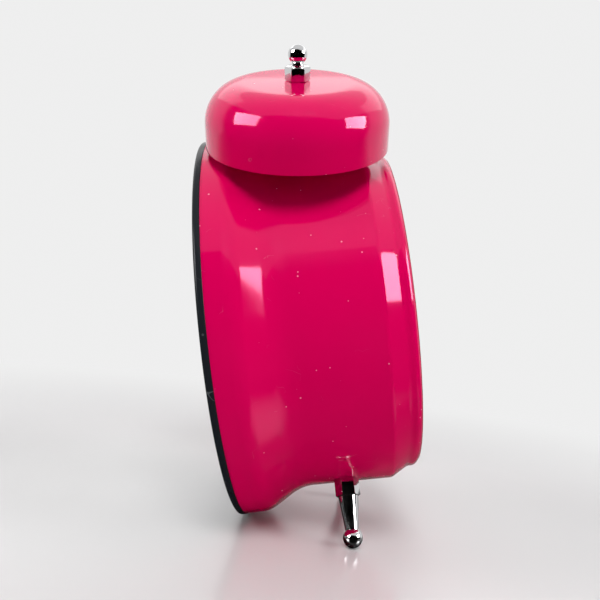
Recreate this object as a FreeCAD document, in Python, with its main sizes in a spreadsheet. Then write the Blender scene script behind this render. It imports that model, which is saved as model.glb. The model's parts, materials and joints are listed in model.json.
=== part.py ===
import FreeCAD, Part
import math
import os
import Sketcher
from FreeCAD import Placement, Rotation, Vector

# Twin-bell alarm clock, millimetres.
# The clock's own frame: Y runs from the dial to the back, Z is up, X is to the right of the dial,
# and the origin is the centre of the bezel's front face. The finished clock stands on the bottom of
# its bezel and on two ball feet, so every piece is tilted and lifted onto the floor at the end.

DRIVING_SIZES = {
    # bezel, lens and dial
    "bezel_radius": 58.0, "bezel_depth": 2.0, "bezel_round": 0.8, "bezel_opening": 52.2,
    "bezel_bevel": 2.3, "spigot_gap": 0.5, "spigot_end": 9.0, "lens_radius": 53.3, "lens_front": 2.4,
    "lens_depth": 1.6, "dial_gap": 0.4, "dial_depth": 0.6, "dial_hole": 2.8, "rehaut_front": 51.6,
    "rehaut_back": 49.4, "marker_depth": 0.3, "marker_length": 5.0, "marker_width": 1.6,
    "marker_circle": 46.0,
    # case
    "case_wall": 0.8, "case_front": 57.7, "case_radius": 51.5, "case_back": 48.6, "case_depth": 54.4,
    "front_band": 9.2, "front_cove": 19.1, "back_shoulder": 46.3, "back_band": 51.2,
    "front_round": 9.0, "cove_round": 13.0, "shoulder_round": 2.5, "band_round": 3.0,
    "back_round": 2.0, "back_lip": 1.6,
    # bells and feet
    "bell_angle": 29.5, "bell_lean": 6.3, "bell_station": 28.4, "bell_distance": 56.5,
    "bell_radius": 25.5, "bell_height": 18.1, "bell_crown": 0.3, "bell_round": 11.0, "bell_wall": 0.8,
    "bell_seat": 4.2, "stud_radius": 1.5, "stud_gap": 0.1, "stud_inside": 5.0, "spacer_radius": 2.6,
    "hex_width": 6.0, "finial_hex": 3.9, "finial_neck": 1.5, "finial_ball": 2.6,
    "finial_reach": 24.9, "nut_height": 2.4,
    "foot_angle": 23.5, "foot_station": 32.5, "foot_hex": 5.1, "foot_cone_top": 2.9,
    "foot_cone_end": 1.9, "foot_ball": 2.8, "foot_reach": 68.0,
    # movement
    "housing_width": 48.0, "housing_top": 20.0, "housing_bottom": 22.0, "housing_wall": 1.2,
    "housing_depth": 14.4, "plate_depth": 1.2, "running_gap": 0.08, "arbor_radius": 0.5,
    "motion_module": 0.5, "third_module": 0.28, "seconds_module": 0.3,
    "second_arbor": 0.8, "tube_wall": 0.5, "hand_depth": 0.4, "tube_step": 1.1,
    "hour_length": 27.0, "minute_length": 40.0, "second_length": 43.0, "alarm_length": 22.0,
    # knobs, rear cover and batteries
    "stem_radius": 1.5, "knob_radius": 6.5, "knob_depth": 7.4, "knob_gap": 0.6, "knob_angle": 22.5,
    "cover_station": 46.0, "cover_depth": 2.0, "cover_gap": 0.2,
    "post_radius": 2.2, "screw_radius": 2.6, "screw_head": 1.2,
    "cell_radius": 7.1, "cell_length": 49.0, "cell_nub": 1.5, "cell_gap": 0.5, "box_wall": 1.2,
    "box_centre": -19.5, "door_depth": 1.6, "door_gap": 0.3, "door_pin": 0.6, "contact_depth": 0.4,
    # alarm switch and hammer
    "switch_height": 39.0, "switch_travel": 2.5, "switch_width": 5.0, "switch_tall": 3.0,
    "hammer_station": 29.0, "hammer_pivot": 40.0, "hammer_height": 64.5, "hammer_radius": 3.2,
    "hammer_head": 6.6, "hammer_rod": 0.9, "pivot_pin": 1.0, "hammer_hub": 2.6, "slot_width": 7.0,
    "slot_depth": 4.0, "motor_height": 27.0, "motor_radius": 6.2, "motor_depth": 10.0,
    "cam_radius": 1.8, "cam_offset": 1.2, "bracket_depth": 1.2, "fork_gap": 4.9, "fork_wall": 1.2,
}

# Fixed small sizes, in millimetres.
TOOTH_TIP = 0.6         # height of a tooth over its pitch circle, in modules
TOOTH_ROOT = 0.9        # depth of a tooth under its pitch circle, in modules
MOTION_WHEEL = 1.0      # thickness of the wheels behind the dial
TRAIN_WHEEL = 0.8       # thickness of the wheels of the going train
PINION_OVERLAP = 0.1    # how far a pinion reaches into the wheels on both sides of it
MAGNET_RADIUS = 2.4
BRACKET_SHAFT_HOLE = 2.4
MOTOR_SHAFT = 0.8
END_PLAY = 0.1
CAM_DEPTH = 2.4
ARM_DEPTH = 1.2         # depth of the hammer's fork
SCREW_SLOT = 0.7
PLATE_INSET = 1.0       # how far a contact plate stays inside its cell's outline
SWITCH_REACH = 3.0      # how far the switch stands out of the cover
FLANGE_DEPTH = 1.2
CONTACT_PAD = 3.6
NUB_SHARE = 0.38        # radius of a cell's plus end as a share of the cell's
SPRING_TIP = 2.52
SPRING_FOOT = 4.2
KNOB_RIBS = 18
KNOB_GROOVE = 0.5
KNOB_CHAMFER = 0.6

DIAL_TEETH = {"cannon": 10, "minute": 30, "idler": 8, "hour": 32, "alarm": 64, "knob": 10}
TRAIN_TEETH = {"centre": 60, "pinion": 8, "third": 64, "second": 40, "intermediate": 36, "rotor": 6}

AXIS_X = Vector(1, 0, 0)
AXIS_Y = Vector(0, 1, 0)
AXIS_Z = Vector(0, 0, 1)
NO_TURN = Rotation()

document = FreeCAD.newDocument("AlarmClock")
sheet = document.addObject("Spreadsheet::Sheet", "Sizes")
nodes = {}


class Size:
    """A number together with the spreadsheet expression that gives it."""

    def __init__(self, value, text):
        self.value = value
        self.text = text

    def __add__(self, other):
        other = as_size(other)
        return Size(self.value + other.value, f"({self.text} + {other.text})")

    def __sub__(self, other):
        other = as_size(other)
        return Size(self.value - other.value, f"({self.text} - {other.text})")

    def __mul__(self, other):
        other = as_size(other)
        return Size(self.value * other.value, f"({self.text} * {other.text})")

    def __truediv__(self, other):
        other = as_size(other)
        return Size(self.value / other.value, f"({self.text} / {other.text})")

    def __neg__(self):
        return Size(-self.value, f"(0 - {self.text})")

    def __radd__(self, other):
        return as_size(other) + self

    def __rsub__(self, other):
        return as_size(other) - self

    def __rmul__(self, other):
        return as_size(other) * self

    def __float__(self):
        return float(self.value)


def as_size(number):
    """Give a plain number the form of a Size."""
    if isinstance(number, Size):
        return number
    return Size(float(number), f"({float(number):.9g})")


def sine(angle):
    """Sine of an angle in degrees, as a Size."""
    angle = as_size(angle)
    return Size(math.sin(math.radians(angle.value)), f"sin({angle.text})")


def cosine(angle):
    """Cosine of an angle in degrees, as a Size."""
    angle = as_size(angle)
    return Size(math.cos(math.radians(angle.value)), f"cos({angle.text})")


def fill_sheet():
    """Write the driving sizes into the sheet and give them back as Sizes."""
    sizes = {}
    for row, (alias, value) in enumerate(DRIVING_SIZES.items(), start=1):
        sheet.set(f"A{row}", alias)
        sheet.set(f"B{row}", str(value))
        sheet.setAlias(f"B{row}", alias)
        sizes[alias] = Size(value, f"Sizes.{alias}")
    document.recompute()
    return sizes


S = fill_sheet()

# Stations along the clock's axis and the radii that several pieces share.
LENS_BACK = S["lens_front"] + S["lens_depth"]
DIAL_FRONT = S["spigot_end"]
DIAL_BACK = DIAL_FRONT + S["dial_depth"]
HOUSING_BACK = DIAL_BACK + S["housing_depth"]
PLATE_BACK = HOUSING_BACK + S["plate_depth"]
COVER_BACK = S["cover_station"]
COVER_FRONT = COVER_BACK - S["cover_depth"]
CASE_INSIDE = S["case_radius"] - S["case_wall"]
SPIGOT_RADIUS = S["case_front"] - S["case_wall"] - S["spigot_gap"]
STUD_HOLE = S["stud_radius"] + S["stud_gap"]
STEM_DISTANCE = S["motion_module"] * ((DIAL_TEETH["alarm"] + DIAL_TEETH["knob"]) / 2)
STEM_SIDE = STEM_DISTANCE * cosine(S["knob_angle"])
STEM_UP = STEM_DISTANCE * sine(S["knob_angle"])
KNOB_FRONT = COVER_BACK + S["knob_gap"]
STEM_HOLE = S["stem_radius"] + S["running_gap"]


def number(value):
    """The plain number of a Size or a number."""
    return float(value)


def at(x, y, z):
    """A point from Sizes or numbers."""
    return Vector(number(x), number(y), number(z))


def bind(feature, **properties):
    """Tie properties of a feature to the sheet."""
    for name, size in properties.items():
        feature.setExpression(name, as_size(size).text)


def keep(name, feature):
    """Register a feature as a finished sub-part."""
    feature.Label = name
    nodes[name] = feature
    return feature


# ---------------------------------------------------------------- sketches and bodies


def origin_plane(body, role):
    """One of the body's own origin planes."""
    return next(item for item in body.Origin.OriginFeatures if item.Role == role)


def corner_points(corners):
    """Where each straight side starts and ends once the corners are rounded."""
    points = [at(corner[0], corner[1], 0) for corner in corners]
    result = []
    for index, corner in enumerate(corners):
        radius = number(corner[2]) if len(corner) > 2 else 0.0
        here = points[index]
        if radius == 0.0:
            result.append((here, here, None, radius, 0.0))
            continue
        before = (points[index - 1] - here).normalize()
        after = (points[(index + 1) % len(points)] - here).normalize()
        half = before.getAngle(after) / 2
        reach = radius / math.tan(half)
        centre = here + (before + after).normalize() * (radius / math.sin(half))
        turn = before.cross(after).z
        result.append((here + before * reach, here + after * reach, centre, radius, turn))
    return result


def fix_point(sketch, geometry, position, across, up):
    """Hold a point of a sketch at (across, up)."""
    for kind, axis, size in (("DistanceX", -2, across), ("DistanceY", -1, up)):
        size = as_size(size)
        if size.value == 0.0:
            sketch.addConstraint(Sketcher.Constraint("PointOnObject", geometry, position, axis))
            continue
        index = sketch.addConstraint(
            Sketcher.Constraint(kind, -1, 1, geometry, position, size.value))
        sketch.setExpression(f"Constraints[{index}]", size.text)


def draw_outline(sketch, corners):
    """Draw a closed outline of straight sides whose corners are (across, up) or (across, up, round)."""
    shaped = corner_points(corners)
    count = len(corners)
    sides = []
    for index in range(count):
        start = shaped[index][1]
        end = shaped[(index + 1) % count][0]
        sides.append(sketch.addGeometry(Part.LineSegment(start, end), False))
    for index, corner in enumerate(corners):
        incoming = sides[index - 1]
        outgoing = sides[index]
        first, last, centre, radius, turn = shaped[index]
        if centre is None:
            sketch.addConstraint(Sketcher.Constraint("Coincident", incoming, 2, outgoing, 1))
            fix_point(sketch, outgoing, 1, corner[0], corner[1])
            continue
        start, end, near, far = (first, last, 1, 2) if turn < 0 else (last, first, 2, 1)
        angles = [math.atan2(point.y - centre.y, point.x - centre.x) for point in (start, end)]
        circle = Part.Circle(centre, AXIS_Z, radius)
        arc = sketch.addGeometry(Part.ArcOfCircle(circle, angles[0], angles[1]), False)
        point = sketch.addGeometry(Part.Point(at(corner[0], corner[1], 0)), True)
        sketch.addConstraint(Sketcher.Constraint("Tangent", incoming, 2, arc, near))
        sketch.addConstraint(Sketcher.Constraint("Tangent", outgoing, 1, arc, far))
        fix_point(sketch, point, 1, corner[0], corner[1])
        sketch.addConstraint(Sketcher.Constraint("PointOnObject", point, 1, incoming))
        sketch.addConstraint(Sketcher.Constraint("PointOnObject", point, 1, outgoing))
        rounding = sketch.addConstraint(Sketcher.Constraint("Radius", arc, radius))
        sketch.setExpression(f"Constraints[{rounding}]", as_size(corner[2]).text)


def new_sketch(body, name, role, offset=None):
    """A sketch on one of the body's origin planes, moved along that plane's normal."""
    sketch = body.newObject("Sketcher::SketchObject", name)
    sketch.AttachmentSupport = (origin_plane(body, role), [""])
    sketch.MapMode = "FlatFace"
    if offset is not None:
        sketch.AttachmentOffset = Placement(at(0, 0, offset), NO_TURN)
        sketch.setExpression("AttachmentOffset.Base.z", as_size(offset).text)
    return sketch


def turned(name, corners):
    """A body turned about the Y axis from an outline of (radius, station) corners."""
    body = document.addObject("PartDesign::Body", name + "_body")
    sketch = new_sketch(body, name + "_profile", "XY_Plane")
    draw_outline(sketch, corners)
    document.recompute()
    revolution = body.newObject("PartDesign::Revolution", name + "_turn")
    revolution.Profile = sketch
    revolution.ReferenceAxis = (sketch, ["V_Axis"])
    revolution.Angle = 360.0
    return body


def padded(name, outlines, front, depth):
    """A body padded towards the back from outlines of (x, z) corners, starting at station front."""
    body = document.addObject("PartDesign::Body", name + "_body")
    for index, corners in enumerate(outlines):
        sketch = new_sketch(body, f"{name}_outline_{index}", "XZ_Plane", -as_size(front))
        draw_outline(sketch, corners)
        pad = body.newObject("PartDesign::Pad", f"{name}_pad_{index}")
        pad.Profile = sketch
        pad.Reversed = True
        bind(pad, Length=depth)
        document.recompute()
    return body


# ---------------------------------------------------------------- primitives and booleans


def rod(name, radius, length, start, direction=AXIS_Y):
    """A cylinder from start along direction."""
    cylinder = document.addObject("Part::Cylinder", name)
    bind(cylinder, Radius=radius, Height=length)
    cylinder.Placement = Placement(start, Rotation(AXIS_Z, direction))
    return cylinder


def hexagon(name, width, length, start, direction, turn=0.0):
    """A hexagonal prism of a given width across flats."""
    prism = document.addObject("Part::Prism", name)
    prism.Polygon = 6
    bind(prism, Circumradius=width / (2 * cosine(30)), Height=length)
    prism.Placement = Placement(start, Rotation(AXIS_Z, direction) * Rotation(AXIS_Z, turn))
    return prism


def ball(name, radius, centre):
    """A sphere."""
    sphere = document.addObject("Part::Sphere", name)
    bind(sphere, Radius=radius)
    sphere.Placement = Placement(centre, NO_TURN)
    return sphere


def cone(name, first_radius, last_radius, length, start, direction):
    """A cone from start along direction."""
    taper = document.addObject("Part::Cone", name)
    bind(taper, Radius1=first_radius, Radius2=last_radius, Height=length)
    taper.Placement = Placement(start, Rotation(AXIS_Z, direction))
    return taper


def box(name, corner, width, depth, height):
    """A box from its lowest corner, sized along X, Y and Z."""
    block = document.addObject("Part::Box", name)
    bind(block, Length=width, Width=depth, Height=height)
    block.Placement = Placement(corner, NO_TURN)
    return block


def joined(name, pieces):
    """One piece from several that touch or overlap."""
    fusion = document.addObject("Part::MultiFuse", name)
    fusion.Shapes = pieces
    return fusion


def gathered(name, pieces):
    """Several separate solids kept as one sub-part."""
    group = document.addObject("Part::Compound", name)
    group.Links = pieces
    return group


def cut_away(name, base, tools):
    """A piece with every tool taken out of it."""
    tool = tools[0] if len(tools) == 1 else gathered(name + "_tools", tools)
    cut = document.addObject("Part::Cut", name)
    cut.Base = base
    cut.Tool = tool
    return cut


# ---------------------------------------------------------------- bezel, lens and dial


def make_front():
    """The bezel, what it holds, and the dial behind it."""
    lip = S["bezel_opening"]
    flat_start = lip + S["bezel_bevel"]
    lens_seat = S["lens_radius"] + S["dial_gap"] / 4
    keep("bezel_ring", turned("bezel_ring", [
        (lip, S["bezel_bevel"] / 2),
        (flat_start, 0),
        (S["bezel_radius"], 0, S["bezel_round"]),
        (S["bezel_radius"], S["bezel_depth"]),
        (SPIGOT_RADIUS, S["bezel_depth"]),
        (SPIGOT_RADIUS, S["spigot_end"]),
        (lens_seat, S["spigot_end"]),
        (lens_seat, S["lens_front"]),
        (lip, S["lens_front"]),
    ]))
    keep("dial_lens", turned("dial_lens", [
        (0, S["lens_front"]),
        (S["lens_radius"], S["lens_front"]),
        (S["lens_radius"], LENS_BACK),
        (0, LENS_BACK),
    ]))
    keep("rehaut_ring", turned("rehaut_ring", [
        (S["rehaut_front"], LENS_BACK),
        (S["lens_radius"], LENS_BACK),
        (S["lens_radius"], DIAL_FRONT),
        (S["rehaut_back"], DIAL_FRONT),
    ]))
    keep("dial_plate", turned("dial_plate", [
        (S["dial_hole"], DIAL_FRONT),
        (SPIGOT_RADIUS - S["dial_gap"], DIAL_FRONT),
        (SPIGOT_RADIUS - S["dial_gap"], DIAL_BACK),
        (S["dial_hole"], DIAL_BACK),
    ]))
    markers = []
    for hour in range(12):
        marker = box(f"marker_{hour}", at(0, 0, 0), S["marker_width"], S["marker_depth"],
                     S["marker_length"])
        inward = S["marker_circle"] - S["marker_length"] / 2
        offset = at(-S["marker_width"] / 2, DIAL_FRONT - S["marker_depth"], inward)
        turn = Placement(Vector(), Rotation(AXIS_Y, 30.0 * hour))
        marker.Placement = turn * Placement(offset, NO_TURN)
        markers.append(marker)
    keep("hour_markers", gathered("hour_markers", markers))


# ---------------------------------------------------------------- case, bells and feet


def bell_direction(side):
    """Outward axis of a bell: side is +1 for the right bell and -1 for the left one."""
    lean = math.radians(number(S["bell_lean"]))
    angle = math.radians(number(S["bell_angle"]))
    across = side * math.sin(angle) * math.cos(lean)
    return Vector(across, math.sin(lean), math.cos(angle) * math.cos(lean))


def foot_direction(side):
    """Outward axis of a foot."""
    angle = math.radians(number(S["foot_angle"]))
    return Vector(side * math.sin(angle), 0, -math.cos(angle))


def bell_point(side, distance):
    """A point on a bell's axis, which leans back about the centre of the bell's rim."""
    angle = math.radians(number(S["bell_angle"]))
    rim_centre = Vector(side * math.sin(angle), 0, math.cos(angle)) * number(S["bell_distance"])
    beyond_rim = number(distance) - number(S["bell_distance"])
    return at(0, S["bell_station"], 0) + rim_centre + bell_direction(side) * beyond_rim


def foot_point(side, distance):
    """A point on a foot's axis."""
    return at(0, S["foot_station"], 0) + foot_direction(side) * number(distance)


def case_corners(inset):
    """The case's outline from front to back, moved inwards by inset."""
    slope_front = S["front_band"] - inset / 2
    slope_back = S["back_band"] + inset / 3
    return [
        (S["case_front"] - inset, S["bezel_depth"]),
        (S["case_front"] - inset, slope_front, S["front_round"] - inset),
        (S["case_radius"] - inset, S["front_cove"] - inset / 2, S["cove_round"] + inset),
        (S["case_radius"] - inset, S["back_shoulder"] - inset / 2, S["shoulder_round"]),
        (S["case_back"] - inset, slope_back - inset / 2, S["band_round"]),
    ]


def make_case():
    """The painted steel shell with its holes for the studs, the feet and the hammer."""
    wall = S["case_wall"]
    lip = S["case_back"] - S["back_lip"]
    outside = case_corners(as_size(0)) + [(S["case_back"], S["case_depth"], S["back_round"])]
    inside = [(S["case_back"] - wall, S["case_depth"] - wall)] + case_corners(wall)[::-1]
    rim = [(lip, S["case_depth"]), (lip, S["case_depth"] - wall)]
    shell = turned("case_blank", outside + rim + inside)
    reach = 6 * wall
    tools = []
    for side in (-1, 1):
        start = S["case_radius"] - reach
        tools.append(rod(f"bell_hole_{side}", STUD_HOLE, 2 * reach, bell_point(side, start),
                         bell_direction(side)))
        tools.append(rod(f"foot_hole_{side}", STUD_HOLE, 2 * reach, foot_point(side, start),
                         foot_direction(side)))
    slot_front = S["hammer_station"] - S["slot_depth"] / 2
    slot_corner = at(-S["slot_width"] / 2, slot_front, S["case_radius"] - reach)
    tools.append(box("hammer_slot", slot_corner, S["slot_width"], S["slot_depth"], 2 * reach))
    keep("case_shell", cut_away("case_shell", shell, tools))


def case_core(name):
    """A solid cylinder of the case's outer radius, for shaping what seats on the case."""
    return rod(name, S["case_radius"], S["case_depth"], at(0, 0, 0))


def make_bells():
    """Two bells, each on a stud with a spacer below and a ball finial above."""
    wall = S["bell_wall"]
    crown = S["bell_height"] - S["bell_crown"]
    top = S["bell_distance"] + S["bell_height"]
    finials, spacers, studs, nuts = [], [], [], []
    for side, name in ((-1, "left"), (1, "right")):
        direction = bell_direction(side)
        bell = turned(f"bell_{name}", [
            (STUD_HOLE, S["bell_height"]),
            (S["bell_seat"], S["bell_height"]),
            (S["bell_radius"], crown, S["bell_round"]),
            (S["bell_radius"], 0),
            (S["bell_radius"] - wall, 0),
            (S["bell_radius"] - wall, crown - wall, S["bell_round"] - wall),
            (S["bell_seat"], S["bell_height"] - wall),
            (STUD_HOLE, S["bell_height"] - wall),
        ])
        bell.Placement = Placement(bell_point(side, S["bell_distance"]), Rotation(AXIS_Y, direction))
        keep(f"bell_{name}", bell)

        sleeve = rod(f"sleeve_{name}", S["spacer_radius"], top - wall - CASE_INSIDE,
                     bell_point(side, CASE_INSIDE), direction)
        bore = rod(f"sleeve_bore_{name}", S["stud_radius"], top, bell_point(side, 0), direction)
        spacers.append(cut_away(f"spacer_{name}", sleeve, [bore, case_core(f"spacer_seat_{name}")]))

        stud_start = S["case_radius"] - S["stud_inside"]
        stud_length = top + S["finial_hex"] / 2 - stud_start
        studs.append(rod(f"stud_{name}", S["stud_radius"], stud_length,
                         bell_point(side, stud_start), direction))

        reach = S["bell_distance"] + S["finial_reach"]
        head = joined(f"finial_blank_{name}", [
            hexagon(f"finial_hex_{name}", S["hex_width"], S["finial_hex"], bell_point(side, top),
                    direction, 90.0),
            rod(f"finial_neck_{name}", S["finial_neck"], reach - top, bell_point(side, top), direction),
            ball(f"finial_ball_{name}", S["finial_ball"], bell_point(side, reach)),
        ])
        thread = rod(f"finial_bore_{name}", S["stud_radius"], S["finial_hex"] / 2,
                     bell_point(side, top), direction)
        finials.append(cut_away(f"finial_{name}", head, [thread]))

        seat = CASE_INSIDE - S["case_wall"]
        nuts.append(inner_nut(f"bell_nut_{name}", bell_point(side, seat), -direction))
    keep("bell_spacers", gathered("bell_spacers", spacers))
    keep("bell_studs", gathered("bell_studs", studs))
    keep("bell_finials", gathered("bell_finials", finials))
    keep("bell_nuts", gathered("bell_nuts", nuts))


def inner_nut(name, start, direction):
    """A hexagonal nut on a stud inside the case."""
    blank = hexagon(name + "_blank", S["hex_width"], S["nut_height"], start, direction)
    bore = rod(name + "_bore", S["stud_radius"], S["nut_height"], start, direction)
    return cut_away(name, blank, [bore])


def make_feet():
    """Two feet: a hexagonal collar seated on the case, a taper and a ball, held by a nut inside."""
    nuts = []
    for side, name in ((-1, "left"), (1, "right")):
        direction = foot_direction(side)
        collar_end = S["case_radius"] + S["foot_hex"]
        collar = hexagon(f"foot_hex_{name}", S["hex_width"] + S["stud_gap"] * 2,
                         S["foot_hex"] + S["case_wall"], foot_point(side, CASE_INSIDE), direction, 75.0)
        seated = cut_away(f"foot_collar_{name}", collar, [case_core(f"foot_seat_{name}")])
        thread_start = S["case_radius"] - S["stud_inside"]
        keep(f"foot_{name}", joined(f"foot_{name}", [
            seated,
            rod(f"foot_thread_{name}", S["stud_radius"], collar_end - thread_start,
                foot_point(side, thread_start), direction),
            cone(f"foot_cone_{name}", S["foot_cone_top"], S["foot_cone_end"],
                 S["foot_reach"] - collar_end, foot_point(side, collar_end), direction),
            ball(f"foot_ball_{name}", S["foot_ball"], foot_point(side, S["foot_reach"])),
        ]))
        seat = CASE_INSIDE - S["case_wall"] / 4
        nuts.append(inner_nut(f"foot_nut_{name}", foot_point(side, seat), -direction))
    keep("foot_nuts", gathered("foot_nuts", nuts))


# ---------------------------------------------------------------- gear wheels


def toothed(teeth, module, phase, front, depth, x=0.0, z=0.0):
    """A gear wheel's solid: straight-sided teeth, one of them centred at angle phase from X to Z."""
    pitch_radius = module * teeth / 2
    tip = pitch_radius + TOOTH_TIP * module
    root = pitch_radius - TOOTH_ROOT * module
    pitch = 360.0 / teeth
    points = []
    for tooth in range(teeth):
        middle = phase + tooth * pitch
        for radius, share in ((root, -0.27), (tip, -0.11), (tip, 0.11), (root, 0.27)):
            angle = math.radians(middle + share * pitch)
            points.append(Vector(x + radius * math.cos(angle), front, z + radius * math.sin(angle)))
    points.append(points[0])
    return Part.Face(Part.makePolygon(points)).extrude(Vector(0, depth, 0))


def meshing_phase(teeth, phase, direction, partner_teeth):
    """Tooth angle of a partner wheel that lies at an angle from a wheel and meshes with it."""
    pitch = 360.0 / teeth
    behind = ((direction - phase) % pitch) / pitch
    return direction + 180.0 + (behind + 0.5) * 360.0 / partner_teeth


def shaft(radius, front, back, x=0.0, z=0.0):
    """A plain round solid along Y."""
    return Part.makeCylinder(radius, back - front, Vector(x, front, z), AXIS_Y)


def wheel_node(name, solids, bore=None):
    """A finished wheel from toothed and round solids, bored through if bore is given."""
    shape = solids[0].multiFuse(solids[1:]) if len(solids) > 1 else solids[0]
    if bore is not None:
        shape = shape.cut(bore)
    feature = document.addObject("Part::Feature", name)
    feature.Shape = shape.removeSplitter()
    keep(name, feature)


def movement_layout():
    """Stations, axes and radii of the movement, worked out once for its wheels and plates."""
    inside = number(DIAL_BACK + S["housing_wall"])
    gap = number(S["running_gap"])
    wall = number(S["tube_wall"])
    second = number(S["second_arbor"])
    minute_bore = second + gap
    minute_tube = minute_bore + wall
    hour_bore = minute_tube + gap
    hour_tube = hour_bore + wall
    alarm_bore = hour_tube + gap
    alarm_tube = alarm_bore + wall
    motion = number(S["motion_module"])
    third = number(S["third_module"])
    seconds = number(S["seconds_module"])
    idler_x = motion * (DIAL_TEETH["idler"] + DIAL_TEETH["hour"]) / 2
    third_z = -third * (TRAIN_TEETH["centre"] + TRAIN_TEETH["pinion"]) / 2
    swing = math.radians(120.0)
    reach = seconds * (TRAIN_TEETH["second"] + TRAIN_TEETH["pinion"]) / 2
    intermediate = (reach * math.cos(swing), reach * math.sin(swing))
    rotor_reach = seconds * (TRAIN_TEETH["intermediate"] + TRAIN_TEETH["rotor"]) / 2
    return {
        "gap": gap, "arbor": number(S["arbor_radius"]), "second": second,
        "minute_bore": minute_bore, "minute_tube": minute_tube, "hour_bore": hour_bore,
        "hour_tube": hour_tube, "alarm_bore": alarm_bore, "alarm_tube": alarm_tube,
        "alarm": inside + 0.7, "hour": inside + 2.4, "motion": inside + 4.2, "centre": inside + 6.2,
        "third": inside + 7.8, "second_wheel": inside + 9.4, "intermediate_wheel": inside + 11.0,
        "back": number(PLATE_BACK) - 0.1, "idler_x": idler_x, "third_z": third_z,
        "intermediate": intermediate, "rotor": (intermediate[0] - rotor_reach, intermediate[1]),
    }


def hand_stations():
    """Front face of each hand, from the second hand back to the alarm hand."""
    step = number(S["tube_step"])
    first = number(LENS_BACK) + step / 2
    return {name: first + index * step for index, name in enumerate(("second", "minute", "hour", "alarm"))}


def make_motion_work(plan):
    """The coaxial tubes of the hands with their wheels, the minute wheel and the two setting stems."""
    module = number(S["motion_module"])
    stations = hand_stations()
    stem_x = number(STEM_SIDE)
    stem_z = number(STEM_UP)
    depth = MOTION_WHEEL

    alarm_phase = 0.0
    knob_angle = number(S["knob_angle"])
    wheel_node("alarm_wheel", [
        toothed(DIAL_TEETH["alarm"], module, alarm_phase, plan["alarm"], depth),
        shaft(plan["alarm_tube"], stations["alarm"], plan["alarm"] + depth),
    ], shaft(plan["alarm_bore"], 0, plan["back"]))
    toward_knob = 180.0 - knob_angle
    alarm_knob_phase = meshing_phase(DIAL_TEETH["alarm"], alarm_phase, toward_knob, DIAL_TEETH["knob"])
    wheel_node("alarm_stem", [
        toothed(DIAL_TEETH["knob"], module, alarm_knob_phase, plan["alarm"] - PINION_OVERLAP,
                depth + 2 * PINION_OVERLAP, -stem_x, stem_z),
        shaft(number(S["stem_radius"]), plan["alarm"], number(KNOB_FRONT), -stem_x, stem_z),
    ])

    cannon_phase = 0.0
    minute_phase = meshing_phase(DIAL_TEETH["cannon"], cannon_phase, 0.0, DIAL_TEETH["minute"])
    wheel_node("minute_arbor", [
        toothed(DIAL_TEETH["cannon"], module, cannon_phase, plan["motion"], depth + 0.2),
        shaft(plan["minute_tube"], stations["minute"], plan["third"] - 0.3),
    ], shaft(plan["minute_bore"], 0, plan["back"]))
    hour_phase = 0.0
    idler_phase = meshing_phase(DIAL_TEETH["hour"], hour_phase, 0.0, DIAL_TEETH["idler"])
    wheel_node("minute_wheel", [
        toothed(DIAL_TEETH["minute"], module, minute_phase, plan["motion"], depth + 0.2, plan["idler_x"]),
        toothed(DIAL_TEETH["idler"], module, idler_phase, plan["hour"] - PINION_OVERLAP,
                plan["motion"] - plan["hour"] + 2 * PINION_OVERLAP, plan["idler_x"]),
        shaft(plan["arbor"], plan["hour"] - PINION_OVERLAP, plan["back"], plan["idler_x"]),
    ])
    wheel_node("hour_wheel", [
        toothed(DIAL_TEETH["hour"], module, hour_phase, plan["hour"], depth),
        shaft(plan["hour_tube"], stations["hour"], plan["hour"] + depth),
    ], shaft(plan["hour_bore"], 0, plan["back"]))
    toward_stem = math.degrees(math.atan2(stem_z, stem_x - plan["idler_x"]))
    time_phase = meshing_phase(DIAL_TEETH["minute"], minute_phase, toward_stem, DIAL_TEETH["knob"])
    wheel_node("time_stem", [
        toothed(DIAL_TEETH["knob"], module, time_phase, plan["motion"] - 0.1, depth + 0.4, stem_x, stem_z),
        shaft(number(S["stem_radius"]), plan["motion"], number(KNOB_FRONT), stem_x, stem_z),
    ])


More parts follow.
